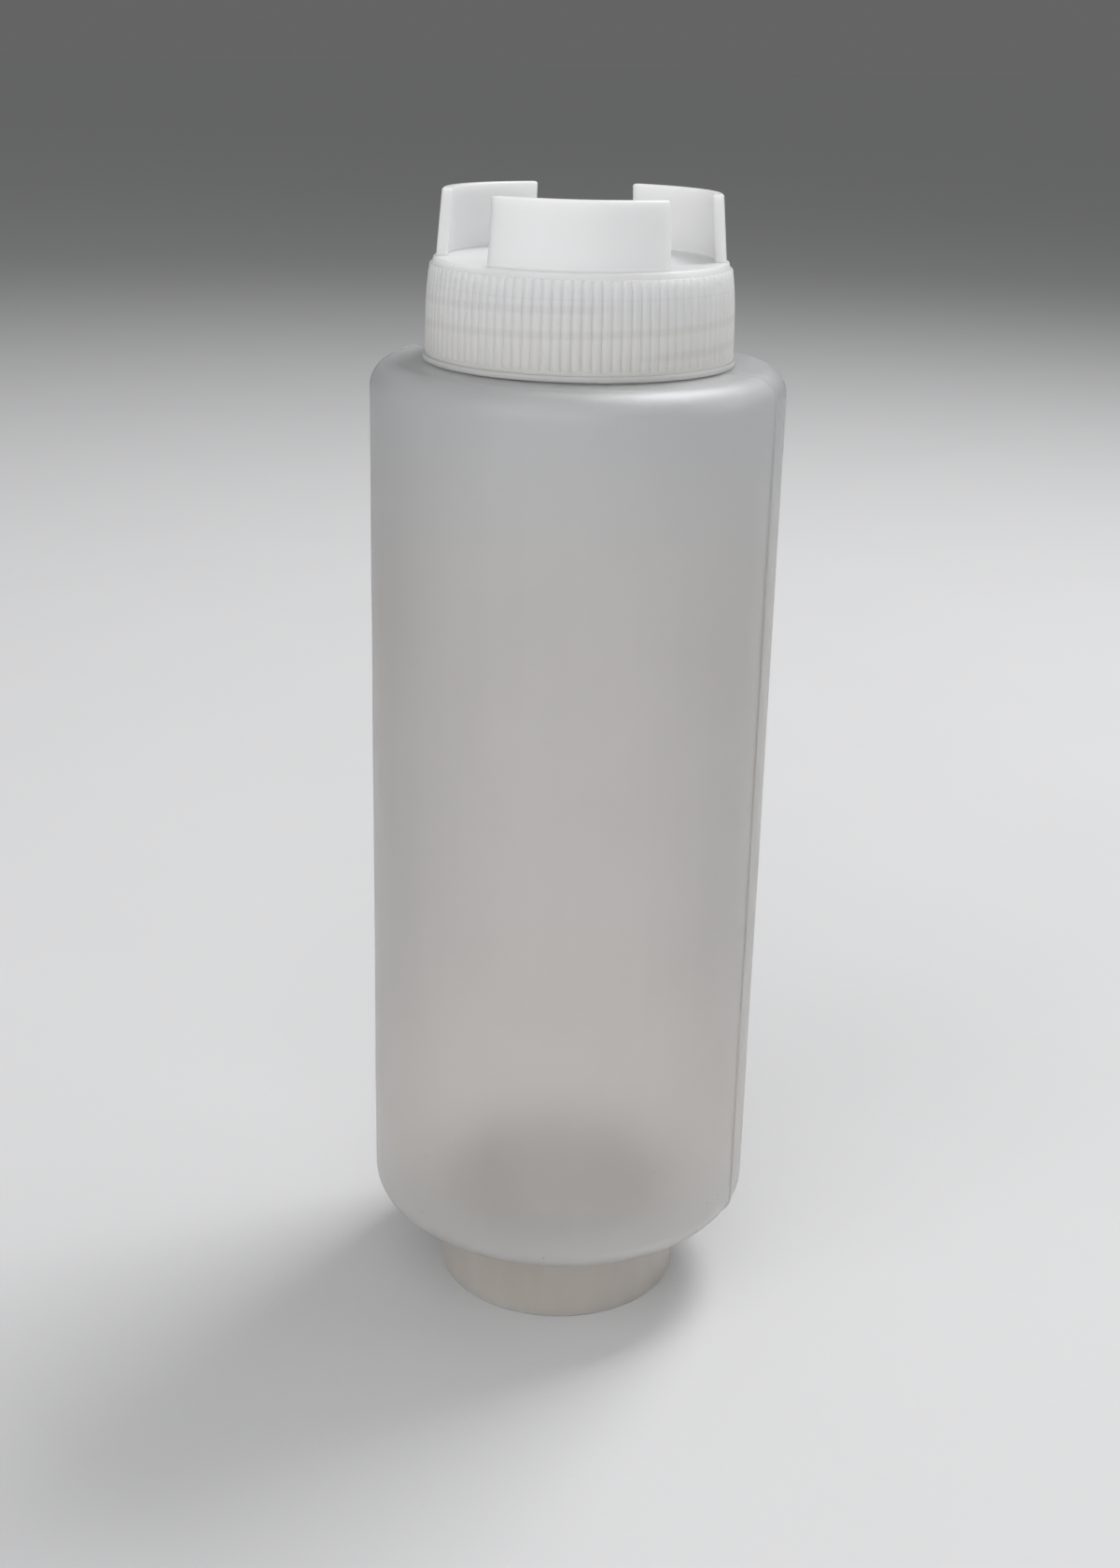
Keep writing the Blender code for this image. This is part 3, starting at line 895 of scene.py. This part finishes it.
def valve_corners():
    """Section of the silicone valve: flange, sleeve and dished head."""
    flange = valve_low.z
    flange_top = flange + VALVE_FLANGE_THICKNESS
    rim = valve_high.z
    bore = VALVE_SLEEVE_RADIUS - VALVE_SLEEVE_WALL
    dish = (bore - VALVE_ROUNDING, VALVE_DISH_DEPTH)
    upper = quarter((0.0, rim), dish, 0.0, DISH_STEPS)
    upper[-1] = (0.0, rim - VALVE_DISH_DEPTH, 0.0)
    lower = quarter((0.0, rim - VALVE_HEAD_THICKNESS), dish, 0.0, DISH_STEPS)
    lower[0] = (bore, rim - VALVE_HEAD_THICKNESS, 0.0)
    lower[-1] = (0.0, rim - VALVE_HEAD_THICKNESS - VALVE_DISH_DEPTH, 0.0)
    corners = list(reversed(upper))
    corners += [
        (VALVE_SLEEVE_RADIUS, rim, VALVE_ROUNDING / 2.0),
        (VALVE_SLEEVE_RADIUS, flange_top, VALVE_ROUNDING / 2.0),
        (VALVE_FLANGE_RADIUS, flange_top, VALVE_ROUNDING),
        (VALVE_FLANGE_RADIUS, flange, VALVE_ROUNDING),
        (bore, flange, VALVE_ROUNDING),
    ]
    return corners + lower


def build_valve(material):
    """Silicone valve with a cross slit through its head."""
    valve = turned("silicone_valve", valve_corners(), SMALL_COLUMNS, material, closed=False)
    blade = bmesh.new()
    bmesh.ops.create_cube(blade, size=1.0)
    depth = 2.0 * (valve_high.z - valve_low.z)
    bmesh.ops.scale(blade, vec=(SLIT_LENGTH, SLIT_WIDTH, depth), verts=blade.verts)
    bmesh.ops.translate(blade, vec=(0.0, 0.0, valve_high.z), verts=blade.verts)
    mesh = mesh_from(blade, "slit_blade")
    for index in range(2):
        turned_blade = mesh.copy()
        turned_blade.transform(Matrix.Rotation(QUARTER_TURN * index, 4, "Z"))
        cutter = add_object(f"slit_blade_{index + 1}", turned_blade)
        fuse(valve, [cutter], "DIFFERENCE")
    return smooth(valve)


def build_clamp_ring(material):
    """Ring that snaps into the cap's seat and holds the valve by its flange."""
    radius = VALVE_FLANGE_RADIUS
    bore = VALVE_SLEEVE_RADIUS - VALVE_SLEEVE_WALL
    low = ring_low.z
    high = ring_high.z
    middle = (low + high) / 2.0
    half_snap = SNAP_HEIGHT / 2.0
    corners = [
        (bore, high, RING_ROUNDING),
        (radius, high, RING_ROUNDING),
        (radius, middle + half_snap, 0.0),
        (radius + SNAP_DEPTH, middle, RING_ROUNDING),
        (radius, middle - half_snap, 0.0),
        (radius, low, RING_ROUNDING),
        (bore + RING_FUNNEL, low, RING_ROUNDING),
        (bore, low + RING_FUNNEL, RING_ROUNDING),
    ]
    return smooth(turned("clamp_ring", corners, SMALL_COLUMNS, material))


def build_refill_cap(material):
    """Plain cup that closes the refill neck and is the bottle's foot."""
    rim = foot_high.z
    rim_radius = REFILL_BORE + REFILL_CAP_WALL
    foot_radius = rim_radius - REFILL_CAP_DRAFT
    corners = [
        (0.0, REFILL_CAP_FLOOR, 0.0),
        (REFILL_BORE, REFILL_CAP_FLOOR, REFILL_CAP_FILLET),
        (REFILL_BORE, rim, MOUTH_BEVEL),
        (rim_radius, rim, MOUTH_BEVEL),
        (foot_radius, foot_low.z, REFILL_CAP_ROUNDING),
        (0.0, foot_low.z, 0.0),
    ]
    cap = turned("refill_cap_cup", corners, ROUND_COLUMNS, material, closed=False)
    lag = CAP_THREAD_LAG
    screw = thread(
        "refill_cap_thread",
        REFILL_BORE,
        NECK_THREAD_START + FULL_TURN * lag,
        REFILL_NECK_THREAD_Z + THREAD_PITCH * (lag + 0.5),
        REFILL_CAP_THREAD_TURNS,
        -1.0,
        material,
    )
    return smooth(fuse(cap, [screw]))


def build_liner(material):
    """Foam disc in the refill cap, pressed in a little where the neck's end bears on it."""
    radius = liner_high.x
    top = liner_high.z
    print_inner = REFILL_NECK_RADIUS - NECK_WALL
    corners = [
        (0.0, top, 0.0),
        (print_inner - LINER_PRINT_SLOPE, top, 0.0),
        (print_inner, top - LINER_PRINT, 0.0),
        (REFILL_NECK_RADIUS, top - LINER_PRINT, 0.0),
        (REFILL_NECK_RADIUS + LINER_PRINT_SLOPE, top, 0.0),
        (radius, top, LINER_ROUNDING),
        (radius, liner_low.z, LINER_ROUNDING),
        (0.0, liner_low.z, 0.0),
    ]
    return smooth(turned("foam_liner", corners, SMALL_COLUMNS, material, closed=False))


# Patterns that the finishes share
SCRATCH_STRETCH = (9.0, 1.0, 1.0)
SCRATCH_TILT_SHARE = 0.7
SPECK_CORE_SHARE = 0.6     # of a dot's radius, inside which it is at full strength
SPECK_CHANCE = 0.68        # cells with a lower draw have no dot
TONE_LOW = 0.3             # a noise rarely leaves the span between these two
TONE_HIGH = 0.7


class Finish(Graph):
    """One material: a Principled shader under patterns laid out on Object coordinates."""

    def __init__(self, name):
        self.material = bpy.data.materials.new(name)
        self.material.use_nodes = True
        super().__init__(self.material.node_tree)
        self.tree.nodes.clear()
        self.place = self.add("ShaderNodeTexCoord", None, None, "Object")
        self.x = self.add("ShaderNodeSeparateXYZ", None, {"Vector": self.place})
        self.y = self.also("Y")
        self.z = self.also("Z")

    def noise(self, scale, stretch=(1.0, 1.0, 1.0), detail=2.0):
        """Noise from 0 to 1 with about so many features a metre, closer where stretched."""
        mapped = self.add("ShaderNodeMapping", None, {"Vector": self.place, "Scale": stretch})
        return self.add(
            "ShaderNodeTexNoise",
            {"noise_dimensions": "3D"},
            {"Vector": mapped, "Scale": scale, "Detail": detail},
        )

    def mixed(self, low, high, share):
        """Colour between two colours or wires."""
        return self.add(
            "ShaderNodeMix",
            {"data_type": "RGBA"},
            {0: share, 6: low, 7: high},
            2,
        )

    def times(self, first, second):
        """Product of two colours."""
        return self.add(
            "ShaderNodeMix",
            {"data_type": "RGBA", "blend_type": "MULTIPLY"},
            {0: 1.0, 6: first, 7: second},
            2,
        )

    def bump(self, height, depth):
        """Normal of a surface that is raised by a height from 0 to 1, times a depth."""
        return self.add("ShaderNodeBump", None, {"Height": height, "Distance": depth})

    def scratches(self, scale, angle, width):
        """Thin straight marks, each as long as a few cells of a stretched pattern."""
        mapped = self.add(
            "ShaderNodeMapping",
            None,
            {
                "Vector": self.place,
                "Rotation": (angle, angle * SCRATCH_TILT_SHARE, angle),
                "Scale": SCRATCH_STRETCH,
            },
        )
        self.add(
            "ShaderNodeTexVoronoi",
            {"feature": "DISTANCE_TO_EDGE"},
            {"Vector": mapped, "Scale": scale},
        )
        return self.also("Distance").ramp(0.0, width, 1.0, 0.0)

    def specks(self, scale, size):
        """Small round dots: the middles of a few cells, where they meet the surface."""
        self.add(
            "ShaderNodeTexVoronoi",
            {"feature": "F1"},
            {"Vector": self.place, "Scale": scale},
        )
        distance = self.also("Distance")
        chance = self.also("Color")
        dot = distance.ramp(size * SPECK_CORE_SHARE, size, 1.0, 0.0)
        return dot * (chance > SPECK_CHANCE)

    def end(self, colour, roughness, normal, **fixed):
        """Close the material. Fixed values go straight onto the shader's own sockets."""
        sockets = {"Base Color": colour, "Roughness": roughness, "Normal": normal}
        for label, value in fixed.items():
            sockets[label.replace("_", " ").title().replace("Ior", "IOR")] = value
        shader = self.add("ShaderNodeBsdfPrincipled", None, sockets, "BSDF")
        self.add("ShaderNodeOutputMaterial", None, {"Surface": shader})
        return self.material


def shade(colour, factor=1.0):
    """Colour made darker or lighter, with its alpha."""
    return (*(min(1.0, channel * factor) for channel in colour), 1.0)


def grey(level):
    """Neutral colour, with its alpha."""
    return (level, level, level, 1.0)


# Bottle's plastic, by height above the floor: partly the plastic's own tint from warm below to cool
# above, partly painted light that lightens the low band and the top
BOTTLE_FOOT_COLOUR = (0.97, 0.962, 0.945)
BOTTLE_LOW_GLOW_COLOUR = (1.0, 0.967, 0.933)
BOTTLE_MIDDLE_COLOUR = (0.905, 0.888, 0.872)
BOTTLE_TOP_LIT_COLOUR = (0.93, 0.94, 0.95)
BOTTLE_SPECK_COLOUR = (0.3, 0.28, 0.26)
BOTTLE_FOOT_ZONE = (0.026, 0.036)
BOTTLE_LOW_ZONE = (0.036, 0.09)
BOTTLE_TOP_ZONE = (0.14, UPPER_SHOULDER_Z)
BOTTLE_WORN_ZONE = (0.02, 0.075)
BOTTLE_ROUGHNESS = 0.28
BOTTLE_RELIEF = 0.00004
BOTTLE_CLEARNESS = 0.76
POLYETHYLENE_IOR = 1.5


def bottle_plastic():
    """Blown natural polyethylene: milky, cloudy in the wall, with faint upright draw marks, and
    painted light that lightens it low down and at the top.
    """
    finish = Finish("bottle_milky_polyethylene")
    clouds = finish.noise(34.0, detail=3.0)
    draw = finish.noise(160.0, (1.0, 1.0, 0.03), detail=2.0)
    grain = finish.noise(2600.0, detail=1.0)
    low_band = finish.z.ramp(*BOTTLE_WORN_ZONE, 1.0, 0.0)
    marks = finish.scratches(150.0, 0.9, 0.012) * finish.noise(55.0).ramp(0.62, 0.72) * low_band
    specks = finish.specks(400.0, 0.07) * low_band
    tone = clouds * 0.6 + draw * 0.4
    # Colour by height. Painted light: lighter low down and towards the shoulder, for the glow of
    # light scattered in the plastic
    colour = shade(BOTTLE_FOOT_COLOUR)
    for next_colour, zone in (
        (BOTTLE_LOW_GLOW_COLOUR, BOTTLE_FOOT_ZONE),
        (BOTTLE_MIDDLE_COLOUR, BOTTLE_LOW_ZONE),
        (BOTTLE_TOP_LIT_COLOUR, BOTTLE_TOP_ZONE),
    ):
        colour = finish.mixed(colour, shade(next_colour), finish.z.ramp(*zone))
    base = finish.mixed(grey(0.955), grey(1.0), tone.ramp(TONE_LOW, TONE_HIGH))
    clouded = finish.times(colour, base)
    scuffed = finish.mixed(clouded, grey(1.0), marks * 0.6)
    specked = finish.mixed(scuffed, shade(BOTTLE_SPECK_COLOUR), specks)
    shoulder = finish.z.ramp(UPPER_SHOULDER_Z - SHOULDER_DROP, UPPER_SHOULDER_Z)
    strewn = draw * 0.06 + grain * 0.05 + marks * 0.15 + shoulder * 0.12
    height = draw * 0.6 + grain * 0.25 - marks * 0.8
    return finish.end(
        specked,
        strewn + BOTTLE_ROUGHNESS,
        finish.bump(height, BOTTLE_RELIEF),
        ior=POLYETHYLENE_IOR,
        transmission_weight=BOTTLE_CLEARNESS,
    )


# Moulded plastic of the caps and the clamp ring
MOULDED_ROUGHNESS = 0.4
MOULDED_RELIEF = 0.00003
MOULDED_CLEARNESS = 0.2
MOULDED_DEPTH = 0.005                  # how far light spreads below the surface
MOULDED_DEPTH_SHARES = (1.0, 0.96, 0.92)
MOULDED_GLOSS = 0.2
MOULDED_GLOSS_ROUGHNESS = 0.3
POLYPROPYLENE_IOR = 1.49
CAP_COLOUR = (0.97, 0.972, 0.975)
# Painted shade: the skirt darker towards its rim, in front of the neck
CAP_SKIRT_SHADE_COLOUR = (0.86, 0.84, 0.80)
# Painted shade: legs and deck darker, where the lamps fall full on them
CAP_LEG_SHADE_COLOUR = (0.885, 0.89, 0.895)
CAP_DECK_SHADE_COLOUR = (0.80, 0.805, 0.81)
CAP_SHADOW = 0.93                      # tone of the skirt over the neck's thread
CAP_THREAD_SHADOW = (0.06, 0.26)       # pitches from the thread's line over which it fades
CAP_CORNER_SHADOW = 0.6
# Painted shade: the refill cap's warm colour is made darker for the shade under the bottle's
# shoulder
REFILL_CAP_SHADED_COLOUR = (0.60, 0.555, 0.51)
# Painted light along the refill cap's foot edge
REFILL_CAP_EDGE_GLOW_COLOUR = (1.0, 1.0, 0.98)
RING_COLOUR = (0.92, 0.92, 0.91)
RING_CLEARNESS = 0.25


class MouldedPlastic(Finish):
    """Moulded polypropylene, a little see-through, with flow marks and grain."""

    def __init__(self, name, colour):
        super().__init__(name)
        self.flow = self.noise(210.0, (1.0, 1.0, 0.25))
        self.grain = self.noise(3200.0, detail=1.0)
        tone = self.noise(48.0, detail=3.0) * 0.5 + self.flow * 0.5
        share = tone.ramp(TONE_LOW, TONE_HIGH)
        self.colour = self.mixed(shade(colour, 0.96), shade(colour, 1.03), share)

    def close(self, clearness=MOULDED_CLEARNESS):
        """Close the material with the gloss and depth of a moulded piece."""
        return self.end(
            self.colour,
            self.flow * 0.08 + self.grain * 0.06 + MOULDED_ROUGHNESS,
            self.bump(self.flow * 0.5 + self.grain * 0.3, MOULDED_RELIEF),
            ior=POLYPROPYLENE_IOR,
            transmission_weight=clearness,
            subsurface_weight=1.0,
            subsurface_radius=MOULDED_DEPTH_SHARES,
            subsurface_scale=MOULDED_DEPTH,
            coat_weight=MOULDED_GLOSS,
            coat_roughness=MOULDED_GLOSS_ROUGHNESS,
        )


def helix_shares(finish, start_z):
    """How far the surface lies from a screw line, in pitches, and how many turns up it."""
    azimuth = finish.x.function("ARCTAN2", finish.y * -1.0) / FULL_TURN
    climbed = (finish.z - start_z) / THREAD_PITCH + NECK_THREAD_START / FULL_TURN
    lap = (climbed - azimuth).function("ROUND")
    beside = (climbed - azimuth - lap).function("ABSOLUTE")
    return beside, azimuth + lap - NECK_THREAD_START / FULL_TURN


def cap_polypropylene():
    """The cap's plastic, with painted shade: darker down the skirt in front of the neck, darker legs
    and deck, and painted shadows of the neck's thread and the skirt's inner corner.
    """
    finish = MouldedPlastic("cap_natural_polypropylene", CAP_COLOUR)
    # Painted shade: the skirt darkest at its rim, lifting to the plastic's colour above the neck's
    # end
    over_neck = finish.z.ramp(bottle_high.z - NECK_SHOWS, bottle_high.z) * 0.4
    up_skirt = finish.z.ramp(CAP_Z, bottle_high.z) * 0.6
    shaded_skirt = finish.mixed(shade(CAP_SKIRT_SHADE_COLOUR), finish.colour, over_neck + up_skirt)
    # Painted shade: the deck's face and rounded edge darker, with a band of contact shadow at the
    # legs' roots, and the legs darker above it
    deck_shade = (finish.z - DECK_TOP).function("ABSOLUTE").ramp(0.0, DECK_ROUNDING, 1.0, 0.0)
    above = finish.z.ramp(DECK_TOP, DECK_TOP + LEG_ROOT)
    legs = finish.mixed(shaded_skirt, shade(CAP_LEG_SHADE_COLOUR), above)
    graded = finish.mixed(legs, shade(CAP_DECK_SHADE_COLOUR), deck_shade)
    # Painted shadows: the neck's thread and the skirt's inner corner drawn as darker lines on the
    # skirt
    beside, turns = helix_shares(finish, DISPENSING_NECK_THREAD_Z)
    started = turns.ramp(0.0, THREAD_TAPER_TURNS)
    ended = turns.ramp(NECK_THREAD_TURNS - THREAD_TAPER_TURNS, NECK_THREAD_TURNS)
    screw = beside.ramp(*CAP_THREAD_SHADOW, 1.0, 0.0) * started * (1.0 - ended)
    corner = (finish.z - DECK_UNDERSIDE + SKIRT_CORNER_DROP).function("ABSOLUTE")
    ring = corner.ramp(0.0, EDGE * 2.0, CAP_CORNER_SHADOW, 0.0)
    shadow = screw.function("MAXIMUM", ring)
    shown = finish.mixed(grey(1.0), grey(CAP_SHADOW), shadow)
    finish.colour = finish.times(graded, shown)
    return finish.close()


def refill_cap_polypropylene():
    """Thinner plastic of the refill cap, warm, darkened as painted shade, with painted light along
    its foot's bottom edge.
    """
    finish = MouldedPlastic("refill_cap_polypropylene", REFILL_CAP_SHADED_COLOUR)
    # Painted light: the foot's bottom edge lighter, where light comes through it
    low_band = finish.z.ramp(0.0, REFILL_CAP_ROUNDING * 1.5, 1.0, 0.0)
    finish.colour = finish.mixed(finish.colour, shade(REFILL_CAP_EDGE_GLOW_COLOUR), low_band)
    return finish.close()


# Silicone and foam
SILICONE_DARK = (0.80, 0.81, 0.80)
SILICONE_LIGHT = (0.88, 0.88, 0.87)
SILICONE_ROUGHNESS = 0.45
SILICONE_RELIEF = 0.00003
SILICONE_IOR = 1.41
SILICONE_CLEARNESS = 0.25
FOAM_DARK = (0.80, 0.80, 0.78)
FOAM_LIGHT = (0.90, 0.90, 0.88)
FOAM_CELLS = 2200.0                    # cells a metre
FOAM_ROUGHNESS = 0.72
FOAM_RELIEF = 0.00006


def valve_silicone():
    """Clear-white silicone rubber with a soft matt skin."""
    finish = Finish("valve_silicone_rubber")
    bloom = finish.noise(240.0, detail=3.0)
    grain = finish.noise(4200.0, detail=1.0)
    tone = bloom.ramp(TONE_LOW, TONE_HIGH)
    return finish.end(
        finish.mixed(shade(SILICONE_DARK), shade(SILICONE_LIGHT), tone),
        bloom * 0.15 + grain * 0.1 + SILICONE_ROUGHNESS,
        finish.bump(grain * 0.6 + bloom * 0.4, SILICONE_RELIEF),
        ior=SILICONE_IOR,
        transmission_weight=SILICONE_CLEARNESS,
    )


def liner_foam():
    """White foamed polyethylene, its closed cells just to be seen."""
    finish = Finish("liner_foamed_polyethylene")
    finish.add(
        "ShaderNodeTexVoronoi",
        {"feature": "F1"},
        {"Vector": finish.place, "Scale": FOAM_CELLS},
    )
    cells = finish.also("Distance")
    clouds = finish.noise(120.0)
    tone = clouds.ramp(TONE_LOW, TONE_HIGH)
    return finish.end(
        finish.mixed(shade(FOAM_DARK), shade(FOAM_LIGHT), tone),
        clouds * 0.1 + FOAM_ROUGHNESS,
        finish.bump(cells, FOAM_RELIEF),
    )


place(build_bottle(bottle_plastic()), "bottle", "bottle_body")
place(build_dispensing_cap(cap_polypropylene()), "dispensing_closure", "dispensing_cap")
place(build_valve(valve_silicone()), "dispensing_closure", "dispensing_valve")
ring_plastic = MouldedPlastic("ring_natural_polypropylene", RING_COLOUR).close(RING_CLEARNESS)
place(build_clamp_ring(ring_plastic), "dispensing_carrier", "valve_clamp_ring")
place(build_refill_cap(refill_cap_polypropylene()), "refill_closure", "refill_cap")
place(build_liner(liner_foam()), "refill_carrier", "refill_cap_liner")


# Stage
FLOOR_REACH = 25.0
FLOOR_GAP = 0.00005
NEAR_COLOUR = (0.64, 0.642, 0.65)
# Painted shade: the floor darkens to this colour a few steps away
FAR_SHADE_COLOUR = (0.32, 0.322, 0.326)
NEAR_REACH = 0.5
FAR_REACH = 2.2
FLOOR_ROUGHNESS = 0.7
FLOOR_RELIEF = 0.00004
WORLD_LEVEL = 0.40
WALL_TONE = WORLD_LEVEL * FAR_SHADE_COLOUR[1]
LAMP_DISTANCE = 1.6
LAMPS = (
    # name, azimuth and elevation in degrees, side in metres, power in watts
    ("key_lamp", 135.0, 60.0, 0.6, 15.5),
    ("fill_lamp", -18.0, 32.0, 2.0, 17.0),
    ("side_lamp", 95.0, 25.0, 1.0, 3.0),
)


def build_floor():
    """Plain pale floor with the faintest mottling, and painted shade that darkens it a few steps
    away.
    """
    finish = Finish("pale_floor")
    mottle = finish.noise(14.0, detail=3.0)
    reach = (finish.x * finish.x + finish.y * finish.y).function("SQRT")
    # Painted shade, darker with distance from the bottle
    away = reach.ramp(NEAR_REACH, FAR_REACH)
    graded = finish.mixed(shade(NEAR_COLOUR), shade(FAR_SHADE_COLOUR), away)
    base = finish.times(graded, finish.mixed(grey(0.97), grey(1.0), mottle))
    grain = finish.bump(finish.noise(700.0), FLOOR_RELIEF)
    material = finish.end(base, FLOOR_ROUGHNESS, grain, specular_ior_level=0.0)
    shape = bmesh.new()
    bmesh.ops.create_circle(shape, cap_ends=True, segments=FLOOR_SIDES, radius=FLOOR_REACH)
    bmesh.ops.translate(shape, vec=(0.0, 0.0, foot_low.z - FLOOR_GAP), verts=shape.verts)
    mesh = mesh_from(shape, "floor")
    mesh.materials.append(material)
    add_object("floor", mesh)


def build_world():
    """Even light from all round, seen by the camera at the tone of the far floor's painted shade."""
    world = bpy.data.worlds.new("soft_room")
    world.use_nodes = True
    graph = Graph(world.node_tree)
    graph.tree.nodes.clear()
    seen = graph.add("ShaderNodeLightPath", None, None, "Is Camera Ray")
    mirrored = graph.also("Is Glossy Ray")
    through = graph.also("Is Transmission Ray")
    shown = (seen + mirrored + through).function("MINIMUM", 1.0)
    strength = shown * (WALL_TONE - WORLD_LEVEL) + WORLD_LEVEL
    light = graph.add(
        "ShaderNodeBackground",
        None,
        {"Color": grey(1.0), "Strength": strength},
    )
    graph.add("ShaderNodeOutputWorld", None, {"Surface": light})
    bpy.context.scene.world = world


def add_lamp(name, azimuth, elevation, size, power):
    """Square soft lamp that looks at the bottle's middle from an azimuth and a height."""
    lamp = bpy.data.lights.new(name, "AREA")
    lamp.shape = "SQUARE"
    lamp.size = size
    lamp.energy = power
    target = Vector((0.0, 0.0, bottle_high.z / 2.0))
    outward = spoke(azimuth) * math.cos(elevation) + Vector((0.0, 0.0, math.sin(elevation)))
    add_object(name, lamp).matrix_world = (
        Matrix.Translation(target + outward * LAMP_DISTANCE)
        @ outward.to_track_quat("Z", "Y").to_matrix().to_4x4()
    )


# Camera, as the photograph was taken
CAMERA_DISTANCE = 0.37506
CAMERA_HEIGHT = 0.2421
CAMERA_TURN = math.radians(1.0)
CAMERA_PITCH = math.radians(19.95)
CAMERA_YAW = math.radians(-0.237)
CAMERA_ROLL = math.radians(1.387)
CAMERA_SENSOR = 36.0
CAMERA_LENS = 46.74
CAMERA_NEAREST = 0.01


def build_camera():
    """Camera at the photograph's place, with its slight turn, pitch and roll."""
    data = bpy.data.cameras.new("camera")
    data.sensor_width = CAMERA_SENSOR
    data.lens = CAMERA_LENS
    data.clip_start = CAMERA_NEAREST
    camera = add_object("camera", data)
    camera.matrix_world = (
        Matrix.Rotation(CAMERA_TURN, 4, "Z")
        @ Matrix.Translation((0.0, -CAMERA_DISTANCE, CAMERA_HEIGHT))
        @ Matrix.Rotation(-CAMERA_YAW, 4, "Z")
        @ Matrix.Rotation(QUARTER_TURN - CAMERA_PITCH, 4, "X")
        @ Matrix.Rotation(CAMERA_ROLL, 4, "Z")
    )
    bpy.context.scene.camera = camera


build_floor()
build_world()
for lamp_name, azimuth, elevation, size, power in LAMPS:
    add_lamp(lamp_name, math.radians(azimuth), math.radians(elevation), size, power)
build_camera()
bpy.context.scene.view_settings.view_transform = "Standard"
